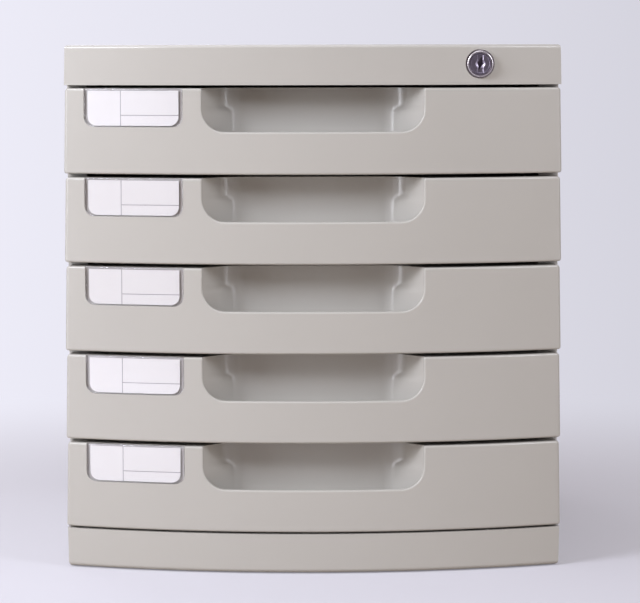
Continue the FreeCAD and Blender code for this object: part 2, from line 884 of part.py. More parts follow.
def snap_levels(number):
    """Flat side of each hook and the way that its barb points."""
    base = tray_z(number)
    return [(base + snap_rise, -1), (base + tray_height - snap_rise, 1)]


def drawer_front(number):
    bottom = front_z(number)
    top = bottom + front_height
    corners, radii = front_profile(number)
    outer = bowed_prism(front_half, front_back_y, bottom - skin, top + skin)
    outer = outer.common(elevation_prism(corners, radii, front_y - overrun, rear_y))
    face = max((f for f in outer.Faces if f.BoundBox.YMin < front_y + skin / 4), key=lambda f: f.Area)
    outer = outer.makeChamfer(front_edge_break, face.Edges)
    inner_width = 2 * (front_half - skin)
    inner_profile = trapezoid(inner_width, inner_width - 2 * front_flare, bottom + skin, top - skin)
    inside = elevation_prism(inner_profile, [0] * len(inner_profile), front_y - overrun, rear_y)
    inside = inside.common(bowed_prism(front_half, rear_y, bottom, top, skin))
    parts = [outer.cut(inside), recess_solid(number, recess_wall)]
    lintel = mouth_half + mouth_lead
    parts.append(box((-lintel, recess_back_y, top - skin), (lintel, front_back_y, top)))
    rib_back_y = tray_front_y - tray_front_gap
    for x in (-outer_rib_x, -inner_rib_x, inner_rib_x, outer_rib_x):
        rib = box((x - front_rib / 2, front_y, bottom), (x + front_rib / 2, rib_back_y, top))
        parts.append(rib.common(inside))
    backing = label_seat_depth + label_backing
    parts.append(label_plate(number, label_backing, skin / 2, backing, top - skin / 2))
    for x in (-snap_x, snap_x):
        for z, upward in snap_levels(number):
            parts.append(snap_hook(x, z, upward))
    seat = label_plate(number, label_fit, -overrun / 2, label_seat_depth, top + overrun)
    return fuse_all(parts).cut([recess_solid(number), seat])


# Label holder and its card

def drawer_label_cover(number):
    top = front_z(number) + front_height
    body = label_plate(number, 0, 0, label_seat_depth, top - card_fit)
    slot_back = holder_front_wall + holder_slot
    return body.cut(card_space(number, 0, holder_front_wall, slot_back, top + overrun))


def card_space(number, fit, inset_from, inset_to, top_z):
    """The card, or the slot that it slides into."""
    half = label_width / 2 - holder_rail - fit
    bottom = front_z(number) + front_height - label_height + holder_floor + fit
    corners = [
        (label_centre - half, bottom),
        (label_centre + half, bottom),
        (label_centre + half, top_z),
        (label_centre - half, top_z),
    ]
    radius = label_corner - holder_floor
    slab = elevation_prism(corners, [radius, radius, 0, 0], front_y - overrun, edge_y + overrun)
    return slab.common(bowed_layer(inset_from, inset_to, bottom - overrun, top_z + overrun))


def drawer_label_card(number):
    top = front_z(number) + front_height
    start = holder_front_wall + (holder_slot - card_thickness) / 2
    return card_space(number, card_fit, start, start + card_thickness, top - card_top_drop)


# Drawer tray

def tray_outline(inset):
    half = tray_half_width - inset
    return [
        (-half, tray_front_y + inset),
        (half, tray_front_y + inset),
        (half, tray_rear_y - inset),
        (-half, tray_rear_y - inset),
    ]


def drawer_tray(number):
    z = tray_z(number)
    rim = z + tray_height
    outline = tray_outline(0)
    body = plan_prism(outline, [tray_corner] * len(outline), z, rim)
    floor_edges = [e for e in body.Edges if e.BoundBox.ZMax < z + tray_wall / 2]
    body = body.makeChamfer(tray_floor_chamfer, floor_edges)
    inner = tray_outline(tray_wall)
    inside = plan_prism(inner, [tray_corner - tray_wall] * len(inner), z + tray_wall, rim + overrun)
    rim_inset = tray_wall - tray_rim_width
    rebate = tray_outline(rim_inset)
    rebate_radii = [tray_corner - rim_inset] * len(rebate)
    step = plan_prism(rebate, rebate_radii, rim - tray_rim_height, rim + overrun)
    parts = [body.cut([inside, step])]
    for side in SIDES.values():
        flange = (tray_half_width - tray_wall / 2, tray_half_width + tray_rear_flange)
        z_span = (ledge_z(number) + guide_height + guide_clearance, rim)
        parts.append(side_box(side, flange, (rear_flange_y, tray_rear_y - tray_corner + tray_wall), z_span))
    pitch = 2 * tray_half_width / (tray_floor_rib_count + 1)
    for i in range(tray_floor_rib_count):
        x = -tray_half_width + (i + 1) * pitch
        half = tray_floor_rib_width / 2
        low = (x - half, tray_front_y + tray_floor_rib_inset, z + tray_wall / 2)
        rib_top = z + tray_wall + tray_floor_rib
        parts.append(box(low, (x + half, tray_rear_y - tray_floor_rib_inset, rib_top)))
    tray = fuse_all(parts)
    cuts = []
    for x in (-snap_x, snap_x):
        for level, upward in snap_levels(number):
            reach = snap_thickness + snap_barb + snap_slot_fit
            z_span = sorted((level - upward * snap_slot_fit, level + upward * reach))
            half = snap_width / 2 + snap_slot_fit
            low = (x - half, tray_front_y - overrun, z_span[0])
            cuts.append(box(low, (x + half, tray_front_y + tray_wall + snap_slot_fit / 2, z_span[1])))
    return tray.cut(cuts)


def drawer_catch(number):
    """The catch on the tray's side that a hook of the locking bar stops."""
    x = tray_half_width
    z = catch_z(number)
    middle = z + catch_height / 2
    half = catch_plate_height / 2
    plate_end = catch_y + 2 * catch_length
    plate = box((x, catch_y, middle - half), (x + catch_plate_thickness, plate_end, middle + half))
    tongue = box((x, catch_y, z), (x + catch_reach, catch_y + catch_length, z + catch_height))
    return plate.fuse(tongue).removeSplitter()


def build():
    nodes = {
        "base_plinth": base_plinth(),
        "rubber_feet": rubber_feet(),
        "left_side_panel": side_panel(SIDES["left"]),
        "right_side_panel": side_panel(SIDES["right"]),
        "back_panel": back_panel(),
        "top_cover": top_cover(),
        "back_screws": back_screws(),
        "plinth_screws": plinth_screws(),
        "cover_screws": cover_screws(),
        "lock_housing": lock_housing(),
        "lock_nut": lock_nut(),
        "lock_plug": lock_plug(),
        "lock_cam": lock_cam(),
        "cam_screw": cam_screw(),
        "locking_bar": locking_bar(),
        "bar_hooks": bar_hooks(),
    }
    for number in range(1, drawer_count + 1):
        nodes["drawer_%d_tray" % number] = drawer_tray(number)
        nodes["drawer_%d_front" % number] = drawer_front(number)
        nodes["drawer_%d_label_cover" % number] = drawer_label_cover(number)
        nodes["drawer_%d_label_card" % number] = drawer_label_card(number)
        nodes["drawer_%d_catch" % number] = drawer_catch(number)
    return nodes


def save(nodes):
    os.makedirs("parts", exist_ok=True)
    for name, shape in nodes.items():
        shape.exportStep("parts/%s.step" % name)
        print(name, len(shape.Solids), "solids", "valid" if shape.isValid() else "not valid",
              round(shape.Volume / 1000, 2), "cm3")


save(build())
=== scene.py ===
"""Desktop file cabinet with five drawers, a bowed front and a lock: its looks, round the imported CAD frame.

Sizes in the code are millimetres, as in the part's source. Blender's own numbers are metres.
"""

import math

import bmesh
import bpy
from bpy.props import FloatProperty, FloatVectorProperty, PointerProperty
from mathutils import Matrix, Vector


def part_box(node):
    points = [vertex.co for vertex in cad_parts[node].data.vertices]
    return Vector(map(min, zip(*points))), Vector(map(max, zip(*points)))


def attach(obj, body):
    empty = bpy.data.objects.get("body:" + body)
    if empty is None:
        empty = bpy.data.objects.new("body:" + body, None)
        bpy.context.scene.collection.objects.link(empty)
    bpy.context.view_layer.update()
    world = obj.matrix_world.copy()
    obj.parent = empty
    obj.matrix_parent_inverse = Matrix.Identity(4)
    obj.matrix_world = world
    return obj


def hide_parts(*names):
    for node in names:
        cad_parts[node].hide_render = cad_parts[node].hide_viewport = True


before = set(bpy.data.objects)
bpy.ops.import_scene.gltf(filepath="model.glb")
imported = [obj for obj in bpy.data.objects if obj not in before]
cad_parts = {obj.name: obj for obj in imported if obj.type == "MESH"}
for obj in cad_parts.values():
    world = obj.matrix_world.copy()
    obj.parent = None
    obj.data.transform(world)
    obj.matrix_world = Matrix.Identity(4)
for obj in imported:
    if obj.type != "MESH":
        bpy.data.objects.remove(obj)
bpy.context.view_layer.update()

bl_info = {
    "name": "Desktop file cabinet",
    "version": (1, 0, 0),
    "blender": (4, 5, 0),
    "location": "3D View > Sidebar > Cabinet",
    "description": "Builds a five-drawer desktop file cabinet with its finishes, piece by piece",
    "category": "Object",
}

DRAWERS = range(1, 6)
MM = 0.001

# Places and sizes that several pieces share with the CAD frame
FRONT_Y = -175.0
REAR_Y = 175.0
BOW_RISE = 29.0
HALF_WIDTH = 150.0
BOW_RADIUS = (HALF_WIDTH**2 + BOW_RISE**2) / (2 * BOW_RISE)
SKIN = 2.5
FACE_DEPTH = 4.2
RECESS_BACK_Y = -147.0
LABEL_CENTRE = -107.8
LABEL_HALF = 30.0
LABEL_HEIGHT = 23.2
LABEL_CORNER = 6.0
LABEL_DEPTH = 2.5
LABEL_PLAY = 0.1
HOOK_X = 94.6
HOOK_HALF = 5.0
HOOK_LEVEL = 12.0
HOOK_ARM = 2.0
HOOK_BARB = 1.4
HOOK_GRIP = 2.6
HOOK_PLAY = 0.4
LOCK_X = 100.0
LOCK_SEAT_Y = -162.378

# How far a cutter runs past what it cuts, how far one shape runs into the next, and how near counts as there
OVERRUN = 10.0
OVERLAP = 1.0
SLACK = 0.02

# CAD copies: the gap that is merged, and the degrees that count as flat and as an edge
MERGE_GAP = 0.002
FLAT_ANGLE = 0.5
SHARP_ANGLE = 40


def lock_z():
    """Height of the lock's axis."""
    low, high = box_mm("lock_housing")
    return (low.z + high.z) / 2


def box_mm(node):
    """Lowest and highest corner of a CAD node, in millimetres."""
    low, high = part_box(node)
    return low / MM, high / MM


def linear(code):
    """The linear colour of an sRGB hex code."""
    channels = [int(code[i : i + 2], 16) / 255 for i in (1, 3, 5)]
    return [c / 12.92 if c <= 0.04045 else ((c + 0.055) / 1.055) ** 2.4 for c in channels]


# What a user would change


class CabinetSizes(bpy.types.PropertyGroup):
    edge_round: FloatProperty(
        name="Front edge round",
        description="Radius along the outline of a drawer front and of its finger recess",
        default=1.6 * MM,
        min=0.6 * MM,
        max=2.2 * MM,
        unit="LENGTH",
    )
    cover_round: FloatProperty(
        name="Cover edge round",
        description="Radius along the top edges of the cover",
        default=2.0 * MM,
        min=0.8 * MM,
        max=2.4 * MM,
        unit="LENGTH",
    )
    plinth_round: FloatProperty(
        name="Plinth edge round",
        description="Radius along the bottom edges of the plinth",
        default=2.4 * MM,
        min=0.8 * MM,
        max=2.6 * MM,
        unit="LENGTH",
    )
    step_blend: FloatProperty(
        name="Recess step blend",
        description="Height over which the recess's narrow lower part turns into its wide upper part",
        default=7.0 * MM,
        min=3.0 * MM,
        max=10.0 * MM,
        unit="LENGTH",
    )
    card_line: FloatProperty(
        name="Card line width",
        description="Width of the printed lines on a label card",
        default=0.4 * MM,
        min=0.2 * MM,
        max=0.8 * MM,
        unit="LENGTH",
    )


class CabinetColours(bpy.types.PropertyGroup):
    putty: FloatVectorProperty(
        name="Putty",
        description="Moulded shell, drawer fronts and plinth",
        subtype="COLOR",
        default=linear("#c1bfbb"),
        min=0,
        max=1,
    )
    tray: FloatVectorProperty(
        name="Trays",
        description="Drawer trays behind the fronts",
        subtype="COLOR",
        default=linear("#cbc8c3"),
        min=0,
        max=1,
    )
    card: FloatVectorProperty(
        name="Cards",
        description="Paper of the label cards",
        subtype="COLOR",
        default=linear("#f2f3f3"),
        min=0,
        max=1,
    )
    backdrop: FloatVectorProperty(
        name="Floor and backdrop",
        description="Seamless paper that the cabinet stands on",
        subtype="COLOR",
        default=linear("#e2e1ec"),
        min=0,
        max=1,
    )


# Modelling by operators


def deselect():
    """Leaves edit mode and clears the selection, so the next operator acts alone."""
    if bpy.context.object and bpy.context.object.mode != "OBJECT":
        bpy.ops.object.mode_set(mode="OBJECT")
    bpy.ops.object.select_all(action="DESELECT")


def take(piece):
    """Makes one piece the only selected and active object."""
    deselect()
    piece.select_set(True)
    bpy.context.view_layer.objects.active = piece


def edit(piece):
    """Opens one piece in edit mode."""
    take(piece)
    bpy.ops.object.mode_set(mode="EDIT")


def join(pieces):
    """Joins pieces into the first of them."""
    deselect()
    for each in pieces:
        each.select_set(True)
    bpy.context.view_layer.objects.active = pieces[0]
    bpy.ops.object.join()
    return pieces[0]


def settle(piece, name):
    """Names a new primitive and moves its place and size into its mesh."""
    piece.name = name
    piece.data.name = name
    bpy.ops.object.transform_apply(location=True, rotation=True, scale=True)
    return piece


def block(name, low, high):
    """A cuboid between two corners, to be shaped further."""
    deselect()
    middle = [(a + b) / 2 * MM for a, b in zip(low, high)]
    bpy.ops.mesh.primitive_cube_add(size=1.0, location=middle)
    piece = bpy.context.object
    piece.scale = [(b - a) * MM for a, b in zip(low, high)]
    return settle(piece, name)


def rod(name, x, z, diameter, y_from, y_to, sides=96):
    """A round bar along the depth of the cabinet."""
    deselect()
    bpy.ops.mesh.primitive_cylinder_add(
        vertices=sides,
        radius=diameter / 2 * MM,
        depth=(y_to - y_from) * MM,
        location=(x * MM, (y_from + y_to) / 2 * MM, z * MM),
        rotation=(math.pi / 2, 0, 0),
    )
    return settle(bpy.context.object, name)


def pick(piece, kind, wanted):
    """In edit mode, selects only the vertices, edges or faces that wanted accepts."""
    if piece.mode != "EDIT":
        edit(piece)
    bpy.ops.mesh.select_mode(type=kind)
    bpy.ops.mesh.select_all(action="DESELECT")
    shape = bmesh.from_edit_mesh(piece.data)
    elements = {"VERT": shape.verts, "EDGE": shape.edges, "FACE": shape.faces}[kind]
    for element in elements:
        if wanted(element):
            element.select_set(True)
    shape.select_flush_mode()
    bmesh.update_edit_mesh(piece.data)


def lies_at(element, **places):
    """True if the whole element lies at the given x, y or z."""
    verts = [element] if isinstance(element, bmesh.types.BMVert) else element.verts
    return all(abs(getattr(v.co, axis) / MM - value) < SLACK for v in verts for axis, value in places.items())


def runs_along(edge, axis, least_share=0.95):
    """True if an edge runs along one axis, give or take the draft of a wall."""
    way = edge.verts[1].co - edge.verts[0].co
    return abs(getattr(way, axis)) > least_share * way.length


def at(**places):
    """A test for what lies at the given x, y or z."""
    return lambda element: lies_at(element, **places)


def along(axis, **places):
    """A test for the edges that run along an axis at the given x, y or z."""
    return lambda edge: runs_along(edge, axis) and lies_at(edge, **places)


def round_over(piece, radius, wanted, segments=5):
    """Rounds the edges that wanted accepts."""
    pick(piece, "EDGE", wanted)
    bpy.ops.mesh.bevel(offset=radius * MM, segments=segments, affect="EDGES", clamp_overlap=True)


def step_face(piece, wanted, steps):
    """Carries a face through steps. Each narrows its outline, or keeps it at 0, and then moves the face."""
    pick(piece, "FACE", wanted)
    for narrow, move in steps:
        if narrow:
            bpy.ops.mesh.inset(thickness=narrow * MM, use_even_offset=True)
        else:
            bpy.ops.mesh.extrude_region()
        bpy.ops.transform.translate(value=[m * MM for m in move])
    deselect()


def resize_at(piece, value, centre, wanted):
    """Scales some of a piece's vertices about a place."""
    pick(piece, "VERT", wanted)
    bpy.ops.transform.resize(value=value, center_override=[c * MM for c in centre])
    deselect()


def narrow_end(piece, scale, wanted):
    """Scales one end of a piece across the cabinet, about its own middle."""
    pick(piece, "VERT", wanted)
    bpy.ops.transform.resize(value=(scale, 1, 1))


def turn_piece(piece, degrees, axis, centre=(0, 0, 0)):
    """Turns a whole piece about an axis through a place."""
    pick(piece, "VERT", lambda v: True)
    place = [c * MM for c in centre]
    bpy.ops.transform.rotate(value=math.radians(degrees), orient_axis=axis, center_override=place)
    deselect()


def apply_modifier(piece, modifier):
    take(piece)
    bpy.ops.object.modifier_apply(modifier=modifier.name)


def combine(piece, tool, operation="DIFFERENCE"):
    """Cuts a tool's shape out of a piece, or adds it, and removes the tool."""
    deselect()
    modifier = piece.modifiers.new("combine", "BOOLEAN")
    modifier.operation = operation
    modifier.solver = "EXACT"
    modifier.object = tool
    apply_modifier(piece, modifier)
    bpy.data.objects.remove(tool)


def bisect(piece, axis, places):
    """Cuts all of a piece by planes across one axis."""
    edit(piece)
    for place in places:
        bpy.ops.mesh.select_all(action="SELECT")
        bpy.ops.mesh.bisect(plane_co=[a * place * MM for a in axis], plane_no=axis)
    deselect()


def slice_across(piece, step=4.0):
    """Cuts a flat piece by upright planes, close enough together for a smooth bow."""
    count = math.ceil(HALF_WIDTH / step)
    bisect(piece, (1, 0, 0), [i * step for i in range(-count + 1, count)])


def fall_at(x):
    """How far the bowed front lies behind its crown."""
    return BOW_RADIUS - math.sqrt(BOW_RADIUS**2 - x**2)


def bow(piece, moves_to, still_from):
    """Pushes a piece's flat front back to the bow: in full up to one depth, and not at all past another."""
    full = fall_at(HALF_WIDTH + OVERLAP)
    group = piece.vertex_groups.new(name="bow")
    for v in piece.data.vertices:
        x, y = v.co.x / MM, v.co.y / MM
        share = min(max((still_from - y) / (still_from - moves_to), 0), 1)
        group.add([v.index], fall_at(x) / full * share, "REPLACE")
    modifier = piece.modifiers.new("bow", "DISPLACE")
    modifier.direction = "Y"
    modifier.mid_level = 0
    modifier.strength = full * MM
    modifier.vertex_group = "bow"
    apply_modifier(piece, modifier)
    piece.vertex_groups.clear()


def bow_face(piece):
    """Bows a front's face, and what is let into it. The recess behind keeps its flat back."""
    slice_across(piece)
    bow(piece, FRONT_Y + FACE_DEPTH, RECESS_BACK_Y)


def smooth(piece, angle=32):
    """Smooth shading that stays flat on flat walls."""
    take(piece)
    bpy.ops.object.shade_smooth_by_angle(angle=math.radians(angle))
    modifier = piece.modifiers.new("flat walls", "WEIGHTED_NORMAL")
    modifier.keep_sharp = True
    modifier.weight = 80
    apply_modifier(piece, modifier)


def copy_piece(piece, name, shift):
    """A copy with its own mesh, moved by some millimetres."""
    deselect()
    twin = piece.copy()
    twin.data = piece.data.copy()
    twin.name = name
    twin.data.name = name
    bpy.context.collection.objects.link(twin)
    edit(twin)
    bpy.ops.mesh.select_all(action="SELECT")
    bpy.ops.transform.translate(value=[m * MM for m in shift])
    bpy.ops.object.mode_set(mode="OBJECT")
    return twin


def dress(piece, body, slot, *finishes):
    """Gives a finished piece its materials and its body. The slot argument is not used."""
    deselect()
    if finishes:
        piece.data.materials.clear()
        for name in finishes:
            piece.data.materials.append(finish(name))
    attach(piece, body)
    return piece


def fit_drawers(first, kind, slot, *finishes):
    """Dresses the first drawer's piece, and copies it for the other drawers."""
    top = box_mm("drawer_1_front")[1].z
    for number in DRAWERS:
        body = "drawer_%d" % number
        lift = box_mm(body + "_front")[1].z - top
        name = first.name.replace("drawer_1", body)
        piece = first if number == 1 else copy_piece(first, name, (0, 0, lift))
        dress(piece, body, slot, *finishes)
        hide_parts("%s_%s" % (body, kind))


def refine(node, edge, body, slot, name):
    """A copy of a CAD node, its triangles merged and its edges broken, as a mould or a press leaves them."""
    deselect()
    piece = bpy.data.objects.new(node + "_detail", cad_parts[node].data.copy())
    piece.data.name = piece.name
    bpy.context.collection.objects.link(piece)
    edit(piece)
    bpy.ops.mesh.select_all(action="SELECT")
    bpy.ops.mesh.remove_doubles(threshold=MERGE_GAP * MM)
    bpy.ops.mesh.dissolve_limited(angle_limit=math.radians(FLAT_ANGLE))
    deselect()
    modifier = piece.modifiers.new("broken edges", "BEVEL")
    modifier.width = edge * MM
    modifier.segments = 2
    modifier.limit_method = "ANGLE"
    modifier.angle_limit = math.radians(SHARP_ANGLE)
    apply_modifier(piece, modifier)
    smooth(piece)
    dress(piece, body, slot, name)
    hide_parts(node)


# Nodes of the materials


def feed(tree, node, inputs):
    """Gives each input a value, or a link from another node's socket."""
    for name, value in inputs.items():
        socket = node.inputs[name]
        if isinstance(value, bpy.types.NodeSocket):
            tree.links.new(value, socket)
        else:
            socket.default_value = value


def add_node(tree, kind, inputs=None, **settings):
    """Adds a node with its settings and its inputs."""
    node = tree.nodes.new(kind)
    for name, value in settings.items():
        setattr(node, name, value)
    feed(tree, node, inputs or {})
    return node


def new_material(name):
    """An empty material. Returns it, its tree, its shader and the Object coordinates."""
    made = bpy.data.materials.new(name)
    made.use_nodes = True
    tree = made.node_tree
    tree.nodes.clear()
    shader = add_node(tree, "ShaderNodeBsdfPrincipled")
    add_node(tree, "ShaderNodeOutputMaterial", {"Surface": shader.outputs[0]})
    place = add_node(tree, "ShaderNodeTexCoord").outputs["Object"]
    return made, tree, shader, place


def noise(tree, place, grain, **inputs):
    """Noise with a grain of some millimetres."""
    inputs = {"Vector": place, "Scale": 1 / (grain * MM), **inputs}
    return add_node(tree, "ShaderNodeTexNoise", inputs).outputs["Fac"]


def blend(tree, factor, first, second):
    """A colour between two."""
    inputs = {"Factor": factor, "A": first, "B": second}
    return add_node(tree, "ShaderNodeMix", inputs, data_type="RGBA").outputs["Result"]


def spread(tree, value, start, end, low=0.0, high=1.0, kind="LINEAR"):
    """Turns a value that goes from start to end into one that goes from low to high."""
    inputs = {"Value": value, "From Min": start, "From Max": end, "To Min": low, "To Max": high}
    return add_node(tree, "ShaderNodeMapRange", inputs, interpolation_type=kind).outputs["Result"]


def reckon(tree, operation, *values):
    """The result of a sum on one value or two."""
    return add_node(tree, "ShaderNodeMath", dict(enumerate(values)), operation=operation).outputs[0]


def reach_of(tree, vector):
    """The length of a vector."""
    return add_node(tree, "ShaderNodeVectorMath", {0: vector}, operation="LENGTH").outputs["Value"]


def mix_shaders(tree, factor, first, second):
    return add_node(tree, "ShaderNodeMixShader", {0: factor, 1: first, 2: second}).outputs[0]


def emboss(tree, shader, height, strength, depth):
    """Raises a shader's surface where height is great, by a depth in millimetres."""
    inputs = {"Height": height, "Strength": strength, "Distance": depth * MM}
    feed(tree, shader, {"Normal": add_node(tree, "ShaderNodeBump", inputs).outputs["Normal"]})


def show(tree, surface):
    """Makes a surface the one that its material puts out."""
    output = next(node for node in tree.nodes if node.type == "OUTPUT_MATERIAL")
    feed(tree, output, {"Surface": surface})


def opaque(code):
    return linear(code) + [1]


def tone(colour, factor):
    return [min(c * factor, 1) for c in colour] + [1]


# Materials


def moulded_abs(name, colour, roughness):
    """ABS, injection moulded in a spark-eroded tool: an even satin skin with a fine pebble grain."""
    made, tree, shader, place = new_material(name)
    # Grain of 0.5 mm. The real one is 0.1 mm, which is too fine to show.
    emboss(tree, shader, noise(tree, place, 0.5, Detail=2.0, Roughness=0.6), 0.12, 0.05)
    # Flow of the melt and handling, in soft patches of 60 mm
    patches = noise(tree, place, 60, Detail=3.0, Roughness=0.5)
    colours = blend(tree, patches, tone(colour, 0.98), tone(colour, 1.02))
    rough = spread(tree, patches, 0, 1, roughness - 0.02, roughness + 0.02)
    feed(tree, shader, {"Base Color": colours, "Roughness": rough, "IOR": 1.54})
    return made


def putty_abs(name):
    return moulded_abs(name, bpy.context.scene.cabinet_colours.putty, 0.24)


def tray_abs(name):
    return moulded_abs(name, bpy.context.scene.cabinet_colours.tray, 0.42)


def clear_styrene(name):
    """Crystal polystyrene, injection moulded: clear and glossy with a faint lilac cast in its thickness."""
    made, tree, shader, place = new_material(name)
    # Light reaches the card straight through the wall, as it does in a thin clear moulding
    path = add_node(tree, "ShaderNodeLightPath")
    passing = reckon(tree, "MAXIMUM", path.outputs["Is Shadow Ray"], path.outputs["Is Diffuse Ray"])
    through = add_node(tree, "ShaderNodeBsdfTransparent", {"Color": opaque("#fbfafc")})
    show(tree, mix_shaders(tree, passing, shader.outputs[0], through.outputs[0]))
    emboss(tree, shader, noise(tree, place, 9, Detail=1.0), 0.05, 0.2)
    feed(tree, shader, {"Base Color": opaque("#fafafb"), "Roughness": 0.04})
    feed(tree, shader, {"IOR": 1.59, "Transmission Weight": 1.0})
    return made


def card_paper(name):
    """Coated card, calendered: nearly white and dull, with a trace of fibre."""
    made, tree, shader, place = new_material(name)
    colour = bpy.context.scene.cabinet_colours.card
    fibre = noise(tree, place, 0.8, Detail=4.0, Roughness=0.7)
    colours = blend(tree, fibre, tone(colour, 0.985), tone(colour, 1.01))
    feed(tree, shader, {"Base Color": colours, "Roughness": 0.7, "IOR": 1.47})
    return made


def card_ink(name):
    """Offset ink on the card: thin grey printed lines."""
    made, tree, shader, place = new_material(name)
    colours = blend(tree, noise(tree, place, 0.6), opaque("#86838c"), opaque("#a09da6"))
    feed(tree, shader, {"Base Color": colours, "Roughness": 0.6})
    return made


def bezel_nickel(name):
    return turned_nickel(name, "#b9b2b4", 0.2)


def plug_nickel_painted_reflection(name):
    # Painted reflection: the plug's colour is a dark purple-grey, darker than its nickel, standing in for the
    # dark studio that its face reflects
    return turned_nickel(name, "#8f8794", 0.3)


def turned_nickel(name, code, roughness):
    """Nickel plate over turned brass: bright, slightly warm, with fine lathe rings round the lock's axis."""
    made, tree, shader, place = new_material(name)
    axis = (-LOCK_X * MM, 0, -lock_z() * MM)
    centre = add_node(tree, "ShaderNodeMapping", {"Vector": place, "Location": axis, "Scale": (1, 0, 1)})
    # Lathe rings of 0.25 mm
    turns = reckon(tree, "MULTIPLY", reach_of(tree, centre.outputs[0]), 2 * math.pi / (0.25 * MM))
    emboss(tree, shader, reckon(tree, "SINE", turns), 0.15, 0.01)
    wear = noise(tree, place, 1.5, Detail=3.0)
    rough = spread(tree, wear, 0, 1, roughness - 0.06, roughness + 0.1)
    feed(tree, shader, {"Base Color": opaque(code), "Roughness": rough, "Metallic": 1.0})
    return made


def zinc_steel(name):
    """Steel strip and screws, zinc plated: a cool grey with a soft mottled spangle."""
    made, tree, shader, place = new_material(name)
    spangle = add_node(tree, "ShaderNodeTexVoronoi", {"Vector": place, "Scale": 1 / (2.5 * MM)})
    colours = blend(tree, spangle.outputs["Color"], opaque("#a9adb3"), opaque("#c3c6ca"))
    rough = spread(tree, spangle.outputs["Distance"], 0, 1, 0.28, 0.42)
    feed(tree, shader, {"Base Color": colours, "Roughness": rough, "Metallic": 1.0})
    return made


def foot_rubber(name):
    """Black rubber, moulded: dull, with a fine dusty grain."""
    made, tree, shader, place = new_material(name)
    dust = noise(tree, place, 0.7, Detail=3.0)
    emboss(tree, shader, dust, 0.3, 0.05)
    colours = blend(tree, dust, opaque("#2b2a2b"), opaque("#3d3b3b"))
    feed(tree, shader, {"Base Color": colours, "Roughness": 0.8})
    return made


FINISHES = {
    "abs_putty_moulded": putty_abs,
    "abs_tray_moulded": tray_abs,
    "polystyrene_clear_moulded": clear_styrene,
    "card_white_coated": card_paper,
    "ink_grey_printed": card_ink,
    "nickel_bezel_turned": bezel_nickel,
    "nickel_plug_turned": plug_nickel_painted_reflection,
    "steel_zinc_plated": zinc_steel,
    "rubber_black_moulded": foot_rubber,
}


def finish(name):
    """The material of that name, made when it is first asked for."""
    return bpy.data.materials.get(name) or FINISHES[name](name)


# Floor, light and camera. The camera's tilt and turns are degrees, and the lamps' places and sizes metres.

CAMERA_PLACE = (-4.05, -1945.0, 311.4)
CAMERA_DIP = 4.748
CAMERA_ROLL = 0.11
CAMERA_PAN = -0.269
FOCAL_LENGTH = 167.4
LAMP_AIM = Vector((0, 0, 0.16))
LAMPS = (
    ("key_soft_box", (-0.95, -1.0, 0.86), 0.5, 0.5, 14.0),
    ("fill_soft_box", (1.05, -1.05, 0.86), 0.4, 0.6, 7.0),
    ("left_strip", (-1.6, -0.9, 0.3), 0.36, 0.8, 9.0),
    ("right_strip", (1.6, -0.9, 0.3), 0.24, 0.8, 3.8),
    ("top_soft_box", (-0.2, -0.4, 2.3), 1.5, 1.5, 14.0),
    ("rear_soft_box", (-0.8, 2.0, 1.5), 1.6, 1.6, 12.0),
)


